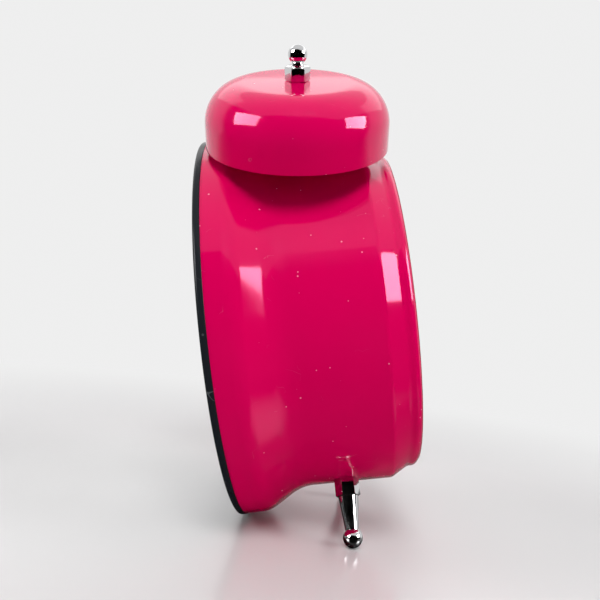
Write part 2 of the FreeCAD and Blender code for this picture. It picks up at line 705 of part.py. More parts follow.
def make_going_train(plan):
    """The centre, third, second and intermediate wheels, and the rotor that drives them."""
    third_module = number(S["third_module"])
    seconds_module = number(S["seconds_module"])
    centre_pair = TRAIN_TEETH["centre"] + TRAIN_TEETH["pinion"]
    third_pair = TRAIN_TEETH["third"] + TRAIN_TEETH["pinion"]
    third_ratio = centre_pair / third_pair
    second_module = third_module * third_ratio
    depth = TRAIN_WHEEL
    stations = hand_stations()
    third_z = plan["third_z"]
    middle_x, middle_z = plan["intermediate"]
    rotor_x, rotor_z = plan["rotor"]

    wheel_node("centre_wheel", [
        toothed(TRAIN_TEETH["centre"], third_module, 0.0, plan["centre"], depth),
        shaft(plan["minute_tube"] + 0.8, plan["centre"] - 0.3, plan["centre"] + depth + 0.3),
    ], shaft(plan["minute_tube"] + plan["gap"], 0, plan["back"]))
    pinion_phase = meshing_phase(TRAIN_TEETH["centre"], 0.0, -90.0, TRAIN_TEETH["pinion"])
    wheel_node("third_wheel", [
        toothed(TRAIN_TEETH["third"], second_module, 90.0, plan["third"], depth, 0.0, third_z),
        toothed(TRAIN_TEETH["pinion"], third_module, pinion_phase, plan["centre"] - PINION_OVERLAP,
                plan["third"] - plan["centre"] + 2 * PINION_OVERLAP, 0.0, third_z),
        shaft(plan["arbor"], plan["centre"] - PINION_OVERLAP, plan["back"], 0.0, third_z),
    ])
    small_phase = meshing_phase(TRAIN_TEETH["third"], 90.0, 90.0, TRAIN_TEETH["pinion"])
    wheel_node("second_wheel", [
        toothed(TRAIN_TEETH["second"], seconds_module, 120.0, plan["second_wheel"], depth),
        toothed(TRAIN_TEETH["pinion"], second_module, small_phase, plan["third"] - PINION_OVERLAP,
                plan["second_wheel"] - plan["third"] + 2 * PINION_OVERLAP),
        shaft(plan["second"], stations["second"], plan["back"]),
    ])
    middle_phase = meshing_phase(TRAIN_TEETH["second"], 120.0, 120.0, TRAIN_TEETH["pinion"])
    wheel_node("intermediate_wheel", [
        toothed(TRAIN_TEETH["intermediate"], seconds_module, 180.0, plan["intermediate_wheel"], depth,
                middle_x, middle_z),
        toothed(TRAIN_TEETH["pinion"], seconds_module, middle_phase, plan["second_wheel"] - PINION_OVERLAP,
                plan["intermediate_wheel"] - plan["second_wheel"] + 2 * PINION_OVERLAP,
                middle_x, middle_z),
        shaft(plan["arbor"], plan["second_wheel"] - PINION_OVERLAP, plan["back"], middle_x, middle_z),
    ])
    rotor_phase = meshing_phase(TRAIN_TEETH["intermediate"], 180.0, 180.0, TRAIN_TEETH["rotor"])
    wheel_node("rotor", [
        toothed(TRAIN_TEETH["rotor"], seconds_module, rotor_phase,
                plan["intermediate_wheel"] - PINION_OVERLAP, depth + 2 * PINION_OVERLAP, rotor_x, rotor_z),
        shaft(MAGNET_RADIUS, plan["third"], plan["second_wheel"] + depth, rotor_x, rotor_z),
        shaft(plan["arbor"], plan["third"] - 0.4, plan["back"], rotor_x, rotor_z),
    ])
    rotor_well = shaft(MAGNET_RADIUS + 0.5, 0, plan["back"], rotor_x, rotor_z)
    make_drive(plan, rotor_x, rotor_z, rotor_well)


def make_drive(plan, rotor_x, rotor_z, rotor_well):
    """The coil, the stator that leads its field to the rotor, and the circuit board."""
    coil_x = -15.0
    coil_z = -8.0
    half_length = 7.0
    stator_front = plan["second_wheel"] - 0.5
    stator_depth = 1.0
    core_radius = 0.6
    spool_radius = 2.4
    lug = 1.6
    yoke_side = coil_x + 1.9
    stator = document.addObject("Part::Feature", "stator")
    yoke = Part.makeBox(5.0, stator_depth, rotor_z + 4.0 - (coil_z - half_length),
                        Vector(yoke_side, stator_front, coil_z - half_length))
    pole = Part.makeBox(rotor_x + 3.6 - yoke_side, stator_depth, 8.0,
                        Vector(yoke_side, stator_front, rotor_z - 4.0))
    ends = [Part.makeBox(4.0, stator_depth, lug, Vector(coil_x - 1.0, stator_front, z))
            for z in (coil_z - half_length, coil_z + half_length - lug)]
    inner_window = Part.makeBox(3.0, stator_depth, 2 * (half_length - lug),
                                Vector(yoke_side, stator_front, coil_z - half_length + lug))
    stator.Shape = yoke.multiFuse([pole] + ends).cut(rotor_well).cut(inner_window).removeSplitter()
    keep("stator", stator)
    bobbin = document.addObject("Part::Feature", "coil")
    winding_front = stator_front - 2.6
    spool_station = stator_front - 1.9
    spool = Part.makeCylinder(spool_radius, 2 * (half_length - lug),
                              Vector(coil_x, spool_station, coil_z - half_length + lug), AXIS_Z)
    lugs = [Part.makeBox(2.0, stator_front - winding_front, lug, Vector(coil_x - 1.0, winding_front, z))
            for z in (coil_z - half_length, coil_z + half_length - lug)]
    core = Part.makeCylinder(core_radius, 2 * half_length,
                             Vector(coil_x, spool_station, coil_z - half_length), AXIS_Z)
    bobbin.Shape = spool.multiFuse(lugs + [core]).removeSplitter()
    keep("coil", bobbin)
    board_front = plan["intermediate_wheel"]
    board_depth = 1.0
    chip_depth = 0.8
    board = box("board_base", Vector(4.0, board_front, -18.0), 16.0, board_depth, 9.0)
    chip = box("board_chip", Vector(10.0, board_front - chip_depth, -15.0), 4.0, chip_depth, 4.0)
    pillar_start = board_front + board_depth
    pillar = rod("board_pillar", 1.2, number(HOUSING_BACK) - pillar_start, Vector(17.0, pillar_start, -13.0))
    keep("circuit_board", joined("circuit_board", [board, chip, pillar]))


def make_housing(plan):
    """The movement's two-part housing with bearing holes for the arbors and stems."""
    half = S["housing_width"] / 2
    wall = S["housing_wall"]
    height = S["housing_top"] + S["housing_bottom"]
    bottom = -S["housing_bottom"]
    outer = box("housing_block", at(-half, DIAL_BACK, bottom), S["housing_width"],
                S["housing_depth"], height)
    hollow = box("housing_hollow", at(wall - half, DIAL_BACK + wall, bottom + wall),
                 S["housing_width"] - wall * 2, S["housing_depth"], height - wall * 2)
    nose = rod("housing_nose", plan["alarm_tube"] + plan["gap"], S["housing_depth"], at(0, 0, 0))
    keep("movement_front", cut_away("movement_front", outer, [hollow, nose]))

    plate = box("plate_block", at(-half, HOUSING_BACK, bottom), S["housing_width"],
                S["plate_depth"], height)
    holes = []
    bearings = {
        "idler": (plan["arbor"], plan["idler_x"], 0), "third": (plan["arbor"], 0, plan["third_z"]),
        "second": (plan["second"], 0, 0), "intermediate": (plan["arbor"],) + plan["intermediate"],
        "rotor": (plan["arbor"],) + plan["rotor"], "time": (S["stem_radius"], STEM_SIDE, STEM_UP),
        "alarm": (S["stem_radius"], -STEM_SIDE, STEM_UP),
    }
    for name, (radius, x, z) in bearings.items():
        holes.append(rod(f"bearing_{name}", radius + S["running_gap"], S["plate_depth"],
                         at(x, HOUSING_BACK, z)))
    keep("movement_back", cut_away("movement_back", plate, holes))


def make_hands(plan):
    """Four flat hands, each pressed on its own tube or arbor."""
    stations = hand_stations()
    # length, width, hub radius and bore of each hand
    shapes = {
        "hour": (S["hour_length"], 3.6, 4.4, plan["hour_tube"]),
        "minute": (S["minute_length"], 2.8, 3.8, plan["minute_tube"]),
        "second": (S["second_length"], 0.8, 2.2, plan["second"]),
        "alarm": (S["alarm_length"], 1.4, 4.4, plan["alarm_tube"]),
    }
    turns = {"hour": -60.0, "minute": 60.0, "second": 180.0, "alarm": 0.0}
    point = 3.0
    second_tail = 12.0
    for name, (length, width, hub, fit) in shapes.items():
        tail = second_tail if name == "second" else 0.0
        shoulder = length - point
        front = stations[name]
        blade = padded(f"{name}_blade", [[
            (-width / 2, -tail), (width / 2, -tail), (width / 2, shoulder),
            (0, length), (-width / 2, shoulder),
        ]], front, S["hand_depth"])
        disc = rod(f"{name}_disc", hub, S["hand_depth"], at(0, front, 0))
        hole = rod(f"{name}_hole", fit, S["hand_depth"], at(0, front, 0))
        hand = cut_away(f"{name}_hand", joined(f"{name}_hand_blank", [blade, disc]), [hole])
        hand.Placement = Placement(Vector(), Rotation(AXIS_Y, turns[name]))
        keep(f"{name}_hand", hand)


# ---------------------------------------------------------------- back: cover, knobs, batteries


def battery_sizes():
    """The battery box's inner half length, inner height and middle station."""
    half_length = S["cell_length"] / 2 + S["cell_nub"] / 2 + S["contact_depth"] * 3
    height = S["cell_radius"] * 4 + S["cell_gap"] * 3
    return half_length, height


POST_PLACES = ((-10.0, 17.0), (10.0, 17.0), (0.0, 1.0))


def make_cover():
    """The rear cover with its openings, three posts and three screws."""
    half_length, height = battery_sizes()
    bottom = S["box_centre"] - height / 2
    disc_radius = CASE_INSIDE - S["cover_gap"]
    disc = turned("cover_blank", [
        (0, COVER_FRONT), (disc_radius, COVER_FRONT), (disc_radius, COVER_BACK), (0, COVER_BACK),
    ])
    thick = S["cover_depth"]
    tools = [
        box("door_opening", at(-half_length, COVER_FRONT, bottom), half_length * 2, thick, height),
        box("switch_slot", at(-S["switch_width"] / 2 - S["switch_travel"] - S["door_gap"], COVER_FRONT,
                              S["switch_height"] - S["switch_tall"] / 2 - S["door_gap"]),
            S["switch_width"] + (S["switch_travel"] + S["door_gap"]) * 2, thick,
            S["switch_tall"] + S["door_gap"] * 2),
    ]
    for side in (-1, 1):
        tools.append(rod(f"stem_hole_{side}", STEM_HOLE, thick, at(side * STEM_SIDE, COVER_FRONT, STEM_UP)))
    hinge_start = half_length + 3 * S["door_pin"]
    tools.append(rod("hinge_hole", S["door_pin"] + S["running_gap"], hinge_start * 2,
                     at(-hinge_start, door_axis()[0], door_axis()[1]), AXIS_X))
    keep("rear_cover", cut_away("rear_cover", disc, tools))

    posts, screws = [], []
    for index, (x, z) in enumerate(POST_PLACES):
        posts.append(rod(f"post_{index}", S["post_radius"], COVER_FRONT - PLATE_BACK, at(x, PLATE_BACK, z)))
        head = rod(f"screw_head_{index}", S["screw_radius"], S["screw_head"], at(x, COVER_BACK, z))
        slot_start = at(x - S["screw_radius"], COVER_BACK + S["screw_head"] / 2, z - SCREW_SLOT / 2)
        slot = box(f"screw_slot_{index}", slot_start, S["screw_radius"] * 2, S["screw_head"], SCREW_SLOT)
        screws.append(cut_away(f"screw_{index}", head, [slot]))
    keep("rear_posts", gathered("rear_posts", posts))
    keep("cover_screws", gathered("cover_screws", screws))


def make_knobs():
    """The two setting knobs on their stems."""
    for side, name in ((1, "time"), (-1, "alarm")):
        knob = document.addObject("Part::Feature", f"{name}_knob")
        radius = number(S["knob_radius"])
        back = number(KNOB_FRONT + S["knob_depth"])
        x = side * number(STEM_SIDE)
        z = number(STEM_UP)
        solid = shaft(radius, number(KNOB_FRONT), back, x, z)
        rear_edges = [edge for edge in solid.Edges if edge.CenterOfMass.y > back - KNOB_CHAMFER / 2]
        solid = solid.makeChamfer(KNOB_CHAMFER, rear_edges)
        groove_circle = radius + KNOB_GROOVE * 0.3
        grooves = []
        for rib in range(KNOB_RIBS):
            angle = 2 * math.pi * rib / KNOB_RIBS
            grooves.append(shaft(KNOB_GROOVE, number(KNOB_FRONT), back, x + groove_circle * math.cos(angle),
                                 z + groove_circle * math.sin(angle)))
        knob.Shape = solid.cut(grooves)
        keep(f"{name}_knob", knob)


def door_axis():
    """Station and height of the battery door's hinge."""
    _, height = battery_sizes()
    station = COVER_BACK - S["door_gap"] - S["door_depth"] / 2
    return station, S["box_centre"] - height / 2 + S["door_gap"] + S["door_depth"] / 2


def make_batteries():
    """The battery box, its two cells with their contacts, and the hinged door."""
    half_length, height = battery_sizes()
    wall = S["box_wall"]
    bottom = S["box_centre"] - height / 2
    depth = S["cell_radius"] * 2 + S["cell_gap"] * 2
    front = COVER_FRONT - depth - wall
    outer = box("box_block", at(-half_length - wall, front, bottom - wall), (half_length + wall) * 2,
                depth + wall, height + wall * 2)
    hollow = box("box_hollow", at(-half_length, front + wall, bottom), half_length * 2, depth, height)
    keep("battery_box", cut_away("battery_box", outer, [hollow]))

    middle = front + wall + S["cell_radius"] + S["cell_gap"] / 2
    springs, contacts = [], []
    for side, name in ((1, "upper"), (-1, "lower")):
        z = S["box_centre"] + side * (S["cell_radius"] + S["cell_gap"] / 2)
        start = at(-side * S["cell_length"] / 2, middle, z)
        direction = Vector(side, 0, 0)
        cell = joined(f"cell_{name}", [
            rod(f"cell_can_{name}", S["cell_radius"], S["cell_length"], start, direction),
            rod(f"cell_nub_{name}", S["cell_radius"] * NUB_SHARE, S["cell_length"] + S["cell_nub"],
                start, direction),
        ])
        keep(f"cell_{name}", cell)
        plus, minus = cell_ends(name, side, at(0, middle, z), half_length)
        contacts.append(plus)
        springs.append(minus)
    keep("cell_contacts", gathered("cell_contacts", contacts))
    keep("cell_springs", gathered("cell_springs", springs))
    make_door(half_length, height)


def cell_ends(name, side, centre, half_length):
    """The contact at a cell's plus end and the spring at its minus end, each with its plate."""
    thin = S["contact_depth"]
    plate_width = S["cell_radius"] * 2 - 2 * PLATE_INSET
    plate_corner = -S["cell_radius"] + PLATE_INSET
    ends = []
    for end, cell_end in ((1, S["cell_length"] / 2 + S["cell_nub"]), (-1, S["cell_length"] / 2)):
        toward = end * side
        plate_x = -half_length if toward < 0 else half_length - thin
        plate = box(f"contact_{name}_{end}", centre + at(plate_x, plate_corner, plate_corner), thin,
                    plate_width, plate_width)
        reach = half_length - thin - cell_end
        start = centre + at(toward * cell_end, 0, 0)
        direction = Vector(toward, 0, 0)
        if end == 1:
            touching = rod(f"contact_pad_{name}", CONTACT_PAD, reach, start, direction)
        else:
            touching = cone(f"spring_cone_{name}", SPRING_TIP, SPRING_FOOT, reach, start, direction)
        ends.append(joined(f"contact_pair_{name}_{end}", [plate, touching]))
    return ends


def make_door(half_length, height):
    """The battery door: a plate with a round hinge edge, two pins and a finger ridge."""
    station, axis_z = door_axis()
    gap = S["door_gap"]
    thick = S["door_depth"]
    door_half = half_length - gap
    plate_height = height - gap * 2 - thick / 2
    plate = box("door_plate", at(-door_half, station - thick / 2, axis_z), door_half * 2, thick, plate_height)
    edge = rod("door_edge", thick / 2, door_half * 2, at(-door_half, station, axis_z), AXIS_X)
    pin_half = half_length + 2.5 * S["door_pin"]
    pins = rod("door_pins", S["door_pin"], pin_half * 2, at(-pin_half, station, axis_z), AXIS_X)
    ridge_width, ridge_depth, ridge_height, ridge_drop = 12.0, 0.8, 1.6, 4.0
    ridge = box("door_ridge", at(-ridge_width / 2, station + thick / 2, axis_z + plate_height - ridge_drop),
                ridge_width, ridge_depth, ridge_height)
    keep("battery_door", joined("battery_door", [plate, edge, pins, ridge]))


# ---------------------------------------------------------------- alarm: switch, motor and hammer


def make_alarm():
    """The alarm switch, the bracket with its motor and cam, and the hammer between the bells."""
    travel_gap = S["door_gap"]
    height = S["switch_height"]
    thumb = box("switch_thumb", at(-S["switch_width"] / 2, COVER_FRONT, height - S["switch_tall"] / 2),
                S["switch_width"], S["cover_depth"] + SWITCH_REACH, S["switch_tall"])
    flange_corner = at(-S["switch_width"], COVER_FRONT - travel_gap - FLANGE_DEPTH, height - S["switch_tall"])
    flange = box("switch_flange", flange_corner, S["switch_width"] * 2, FLANGE_DEPTH, S["switch_tall"] * 2)
    link_corner = at(-S["switch_width"] / 2, COVER_FRONT - travel_gap, height - S["switch_tall"] / 2)
    link = box("switch_link", link_corner,
               S["switch_width"], travel_gap, S["switch_tall"])
    keep("alarm_switch", joined("alarm_switch", [thumb, flange, link]))

    station = S["hammer_station"]
    bracket_front = station + S["hammer_hub"]
    motor_z = S["motor_height"]
    motor_front = bracket_front + S["bracket_depth"]
    post_z = POST_PLACES[0][1]
    plate = padded("bracket_blank", [[
        (-14.0, post_z - 4.0), (14.0, post_z - 4.0), (14.0, post_z + 4.0), (9.0, motor_z),
        (5.0, S["hammer_pivot"] + 4.0), (-5.0, S["hammer_pivot"] + 4.0), (-9.0, motor_z),
        (-14.0, post_z + 4.0),
    ]], bracket_front, S["bracket_depth"])
    holes = [rod(f"bracket_hole_{index}", S["post_radius"], S["bracket_depth"], at(x, bracket_front, z))
             for index, (x, z) in enumerate(POST_PLACES[:2])]
    holes.append(rod("bracket_shaft_hole", BRACKET_SHAFT_HOLE, S["bracket_depth"],
                     at(0, bracket_front, motor_z)))
    holes.append(rod("bracket_pin_hole", S["pivot_pin"], S["bracket_depth"],
                     at(0, bracket_front, S["hammer_pivot"])))
    keep("alarm_bracket", cut_away("alarm_bracket", plate, holes))

    keep("alarm_motor", joined("alarm_motor", [
        rod("motor_can", S["motor_radius"], S["motor_depth"], at(0, motor_front, motor_z)),
        rod("motor_cap", S["motor_radius"] - 1.2, 1.0, at(0, motor_front + S["motor_depth"], motor_z)),
    ]))
    shaft_start = station - CAM_DEPTH * 0.625
    motor_shaft = rod("motor_shaft", MOTOR_SHAFT, motor_front - shaft_start - END_PLAY,
                      at(0, shaft_start, motor_z))
    cam = rod("cam_disc", S["cam_radius"], CAM_DEPTH, at(S["cam_offset"], station - CAM_DEPTH / 2, motor_z))
    keep("motor_cam", joined("motor_cam", [motor_shaft, cam]))

    pin_front = station - S["hammer_hub"]
    pivot_z = S["hammer_pivot"]
    keep("hammer_pin", joined("hammer_pin", [
        rod("pin_rod", S["pivot_pin"], motor_front - pin_front, at(0, pin_front, pivot_z)),
        rod("pin_head", S["pivot_pin"] * 1.8, 0.6, at(0, pin_front - 0.6, pivot_z)),
    ]))
    hub_half = S["hammer_hub"] * 0.85
    fork_top = pivot_z - S["hammer_hub"] - 1.4
    fork_bottom = motor_z - S["cam_radius"] - S["cam_offset"]
    prong_outer = S["fork_gap"] + S["fork_wall"]
    arm_front = station - ARM_DEPTH / 2
    web_half = 1.5
    bridge_height = 1.6
    prongs = [box(f"fork_prong_{side}", at(x, arm_front, fork_bottom), S["fork_wall"], ARM_DEPTH,
                  fork_top - fork_bottom) for side, x in ((-1, -prong_outer), (1, S["fork_gap"]))]
    bridge = box("fork_bridge", at(-prong_outer, arm_front, fork_top), prong_outer * 2, ARM_DEPTH,
                 bridge_height)
    web = box("fork_web", at(-web_half, arm_front, fork_top), web_half * 2, ARM_DEPTH, pivot_z - fork_top)
    hub = rod("hammer_hub", S["hammer_hub"], hub_half * 2, at(0, station - hub_half, pivot_z))
    arm = rod("hammer_arm_rod", S["hammer_rod"], S["hammer_height"] - pivot_z,
              at(0, station, pivot_z), AXIS_Z)
    bore = rod("hammer_bore", S["pivot_pin"] + S["running_gap"], hub_half * 2,
               at(0, station - hub_half, pivot_z))
    blank = joined("hammer_arm_blank", prongs + [bridge, web, hub, arm])
    keep("hammer_arm", cut_away("hammer_arm", blank, [bore]))

    half_head = S["hammer_head"] / 2
    head_round = 1.0
    head = turned("hammer_head_blank", [
        (0, -half_head),
        (S["hammer_radius"], -half_head, head_round),
        (S["hammer_radius"], half_head, head_round),
        (0, half_head),
    ])
    head.Placement = Placement(at(0, station, S["hammer_height"]), Rotation(AXIS_Y, AXIS_X))
    socket = rod("hammer_socket", S["hammer_rod"], S["hammer_radius"] + 1.0,
                 at(0, station, S["hammer_height"] - S["hammer_radius"] - 1.0), AXIS_Z)
    keep("hammer_head", cut_away("hammer_head", head, [socket]))


# ---------------------------------------------------------------- standing, checking and writing


def standing_tilt():
    """Angle that brings the bezel's lower edge and both foot balls to the same floor."""
    edge = number(S["bezel_round"])
    run = number(S["foot_station"]) - edge
    foot_drop = number(S["foot_reach"]) * math.cos(math.radians(number(S["foot_angle"])))
    drop = foot_drop - (number(S["bezel_radius"]) - edge)
    extra = number(S["foot_ball"]) - edge
    return math.degrees(math.atan2(drop, run) + math.asin(extra / math.hypot(run, drop)))


def stand_up():
    """Tilt every sub-part about the bezel's centre, then centre the clock over the floor.

    Gives back the placement that takes the clock's own frame to the standing one.
    """
    tilt = Placement(Vector(), Rotation(AXIS_X, standing_tilt()))
    shapes = [feature.Shape.copy() for feature in nodes.values()]
    for shape in shapes:
        shape.Placement = tilt * shape.Placement
    bounds = FreeCAD.BoundBox()
    for shape in shapes:
        bounds.add(shape.optimalBoundingBox(False, False))
    lift = Vector(-bounds.Center.x, -bounds.Center.y, -bounds.ZMin)
    standing = Placement(lift, NO_TURN) * tilt
    for feature in nodes.values():
        feature.Placement = standing * feature.Placement
    print("tilt", round(standing_tilt(), 4), "bezel centre", standing.Base, "size",
          round(bounds.XLength, 2), round(bounds.YLength, 2), round(bounds.ZLength, 2))
    return standing


def check_document():
    """Stop if any feature failed or any sub-part is empty or invalid."""
    for feature in document.Objects:
        if "Invalid" in feature.State or "Error" in feature.State:
            raise RuntimeError(f"{feature.Name} failed: {feature.State}")
    for name, feature in nodes.items():
        if feature.Shape.isNull() or not feature.Shape.isValid() or feature.Shape.Volume <= 0:
            raise RuntimeError(f"{name} has no valid solid")


def write_parts():
    """Write each sub-part to its own file."""
    os.makedirs("parts", exist_ok=True)
    for name, feature in nodes.items():
        feature.Shape.exportStep(f"parts/{name}.step")


def build():
    """Make every sub-part, stand the clock up, check it and write it."""
    plan = movement_layout()
    make_front()
    make_case()
    make_bells()
    make_feet()
    make_housing(plan)
    make_motion_work(plan)
    make_going_train(plan)
    make_hands(plan)
    make_cover()
    make_knobs()
    make_batteries()
    make_alarm()
    document.recompute()
    check_document()
    standing = stand_up()
    document.recompute()
    check_document()
    write_parts()
    print(len(nodes), "sub-parts")
    return standing


STANDING = build()
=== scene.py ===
"""Twin-bell alarm clock: the visible pieces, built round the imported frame."""
import json
import math

import bmesh
import bpy
from bpy.props import FloatProperty, FloatVectorProperty, PointerProperty
from mathutils import Matrix, Vector


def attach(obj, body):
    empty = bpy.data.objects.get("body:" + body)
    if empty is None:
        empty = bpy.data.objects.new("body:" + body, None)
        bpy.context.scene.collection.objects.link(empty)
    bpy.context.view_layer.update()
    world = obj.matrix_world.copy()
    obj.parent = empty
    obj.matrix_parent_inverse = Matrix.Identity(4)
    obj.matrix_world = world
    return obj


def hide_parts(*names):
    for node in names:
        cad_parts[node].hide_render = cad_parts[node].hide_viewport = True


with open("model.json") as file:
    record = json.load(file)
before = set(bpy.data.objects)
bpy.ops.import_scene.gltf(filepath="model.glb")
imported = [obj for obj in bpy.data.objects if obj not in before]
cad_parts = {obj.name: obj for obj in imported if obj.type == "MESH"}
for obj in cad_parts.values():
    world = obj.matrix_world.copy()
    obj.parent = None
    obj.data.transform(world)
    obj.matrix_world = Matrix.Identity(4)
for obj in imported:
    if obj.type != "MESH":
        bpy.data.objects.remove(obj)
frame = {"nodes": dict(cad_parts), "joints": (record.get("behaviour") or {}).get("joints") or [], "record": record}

bl_info = {
    "name": "Twin-bell alarm clock",
    "version": (1, 0, 0),
    "blender": (4, 5, 0),
    "location": "3D View > Sidebar > Clock",
    "description": "Builds the painted case, bells, dial, feet and back of a twin-bell alarm clock",
    "category": "Add Mesh",
}

MM = 0.001
WHITE = (1.0, 1.0, 1.0, 1.0)
BLACK = (0.0, 0.0, 0.0, 1.0)
SIDES = ((-1, "left"), (1, "right"))
BELL_ANGLE = math.radians(29.5)
BELL_LEAN = math.radians(6.3)
FOOT_ANGLE = math.radians(23.5)
FINIAL_TURN = math.radians(30.0)
FOOT_TURN = math.radians(33.0)
HEX_CHAMFER = 0.94
MATERIALS = {}
RECORD = frame["record"]
JOINTS = {joint["name"]: joint for joint in frame["joints"]}
MOUNTS = {mount["name"]: mount for mount in RECORD["mounts"]}
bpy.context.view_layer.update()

# The clock's own frame has Y from the dial to the back, Z up and its origin at the bezel's centre.
DIAL_AXIS = Vector(JOINTS["minute_turn"]["axis"])
FACE_POINT = Vector(MOUNTS["bezel_face"]["pos_m"])
BEZEL_POINT = Vector((0.0, FACE_POINT.y, FACE_POINT.z))
CLOCK = (Matrix.Translation(BEZEL_POINT)
         @ Matrix.Rotation(math.atan2(DIAL_AXIS.z, DIAL_AXIS.y), 4, "X"))


def length(name, text, millimetres):
    """A length property whose default is in millimetres."""
    return FloatProperty(name=name, description=text, default=millimetres * MM, unit="LENGTH", precision=5)


def colour(name, text, values):
    """A colour property."""
    return FloatVectorProperty(name=name, description=text, default=values, subtype="COLOR", size=3,
                               min=0.0, max=1.0)


def level(name, text, value):
    """A plain number property."""
    return FloatProperty(name=name, description=text, default=value)


def point(name, text, values):
    """A point property."""
    return FloatVectorProperty(name=name, description=text, default=values, subtype="XYZ", size=3)


class ClockSizes(bpy.types.PropertyGroup):
    """Lengths of the clock, as the frame has them."""

    bezel_radius: length("Bezel radius", "Outer radius of the bezel", 58.0)
    bezel_depth: length("Bezel depth", "Depth of the bezel outside the case", 2.0)
    bezel_opening: length("Bezel opening", "Radius of the bezel's inner edge", 52.2)
    bezel_bevel: length("Bezel bevel", "Width of the slope inside the bezel's flat", 2.3)
    case_front: length("Case front", "Radius of the case behind the bezel", 57.7)
    case_radius: length("Case radius", "Radius of the case's straight middle", 51.5)
    case_back: length("Case back", "Radius of the case's rear band", 48.6)
    case_depth: length("Case depth", "Station of the case's rear edge", 54.4)
    case_wall: length("Case wall", "Thickness of the case's sheet", 0.8)
    front_band: length("Front band", "Station where the front band turns into the cove", 9.2)
    front_cove: length("Front cove", "Station where the cove meets the middle", 19.1)
    back_shoulder: length("Back shoulder", "Station where the middle steps down", 46.3)
    back_band: length("Back band", "Station where the step meets the rear band", 51.2)
    bell_radius: length("Bell radius", "Radius of a bell's rim", 25.5)
    bell_height: length("Bell height", "Height of a bell over its rim", 18.1)
    bell_round: length("Bell round", "Radius of the bell's shoulder", 11.0)
    bell_crown: length("Bell crown", "Rise of the bell's top from shoulder to middle", 0.3)
    bell_seat: length("Bell seat", "Radius of the flat under the finial", 4.2)
    bell_wall: length("Bell wall", "Thickness of a bell", 0.8)
    bell_station: length("Bell station", "Station of a bell's rim centre", 28.4)
    bell_distance: length("Bell distance", "Distance of a bell's rim from the clock's axis", 56.5)
    hex_width: length("Hexagon width", "Width across the flats of a finial", 6.0)
    finial_hex: length("Finial hexagon", "Height of a finial's hexagon", 3.9)
    finial_ball: length("Finial ball", "Radius of a finial's ball", 2.6)
    finial_reach: length("Finial reach", "Height of the ball's centre over the bell's rim", 24.9)
    foot_station: length("Foot station", "Station of a foot's axis", 32.5)
    foot_hex: length("Foot hexagon", "Height of a foot's hexagon outside the case", 5.1)
    foot_ball: length("Foot ball", "Radius of a foot's ball", 2.8)
    foot_reach: length("Foot reach", "Distance of the foot's ball from the clock's axis", 68.0)
    dial_front: length("Dial front", "Station of the dial's face", 9.0)
    numeral_height: length("Numeral height", "Height of the dial's numbers", 10.0)
    numeral_circle: length("Numeral circle", "Radius of the circle of numbers", 36.0)
    knob_radius: length("Knob radius", "Radius of a setting knob", 6.5)


class ClockFinish(bpy.types.PropertyGroup):
    """Colours of the clock."""

    paint: colour("Paint", "Gloss paint of the case and bells", (0.72, 0.0, 0.095))
    dust: colour("Dust", "Dust specks and fine scratches", (0.95, 0.45, 0.60))
    bezel: colour("Bezel", "Gloss black of the bezel", (0.012, 0.014, 0.018))
    chrome: colour("Chrome", "Plated feet and finials", (0.70, 0.70, 0.71))
    plastic: colour("Back plastic", "Moulded plastic of the back", (0.022, 0.022, 0.024))
    dial: colour("Dial", "Printed face", (0.86, 0.86, 0.84))
    print_black: colour("Print", "Numbers and hands", (0.012, 0.012, 0.013))
    floor: colour("Floor", "Sheet under the clock", (0.68, 0.67, 0.675))


class ClockStage(bpy.types.PropertyGroup):
    """Camera and lights; camera places are measured from the bezel's centre and powers are in watts."""

    camera_place: point("Camera place", "Where the camera stands", (0.23703, 0.02761, 0.01043))
    camera_target: point("Camera target", "Where the camera looks", (-0.00047, 0.02213, 0.01124))
    camera_roll: FloatProperty(name="Camera roll", description="Turn of the camera about its view axis",
                               default=math.radians(6.84), subtype="ANGLE")
    camera_lens: level("Camera lens", "Focal length for the sensor's width", 44.57)
    camera_sensor: level("Camera sensor", "Width of the camera's sensor in millimetres", 36.0)
    pane_left: level("Left pane", "Power of the left mirrored pane", 12.0)
    pane_right: level("Right pane", "Power of the right mirrored pane", 14.0)
    side_power: level("Side power", "Power of each soft light in front and behind", 4.2)
    key_power: level("Key power", "Power of the raised key light", 7.6)
    key_share: level("Opposite share", "Power of the light opposite the key, as a share of it", 0.4)
    top_power: level("Top power", "Power of the overhead light", 4.0)
    ceiling_power: level("Ceiling power", "Power of the mirrored ceiling", 17.0)
    room: level("Room", "Strength of the even room light", 0.06)
    backdrop: level("Backdrop", "Brightness of the far backdrop", 0.86)


# ---------------------------------------------------------------- mesh tools


def rounded(corners, steps=10):
    """Points of an outline whose corners are (radius, station) or (radius, station, round)."""
    points = []
    count = len(corners)
    for index, corner in enumerate(corners):
        here = Vector(corner[:2])
        if len(corner) < 3:
            points.append(here)
            continue
        before = (Vector(corners[index - 1][:2]) - here).normalized()
        after = (Vector(corners[(index + 1) % count][:2]) - here).normalized()
        half = before.angle(after) / 2
        centre = here + (before + after).normalized() * (corner[2] / math.sin(half))
        reach = corner[2] / math.tan(half)
        first = here + before * reach - centre
        last = here + after * reach - centre
        turn = first.angle_signed(last)
        for step in range(steps + 1):
            angle = -turn * step / steps
            spoke = Matrix.Rotation(angle, 2) @ first
            points.append(centre + spoke)
    return points


def smooth_shade(mesh, angle=35.0):
    """Smooth shading with sharp edges where the surface turns by more than angle."""
    mesh.shade_smooth()
    mesh.set_sharp_from_angle(angle=math.radians(angle))


def dress(thing, material):
    """Give an object one material."""
    thing.data.materials.clear()
    thing.data.materials.append(material)
    return thing


def new_object(name, mesh, material):
    """A finished object at the origin."""
    thing = bpy.data.objects.new(name, mesh)
    bpy.context.scene.collection.objects.link(thing)
    return dress(thing, material)


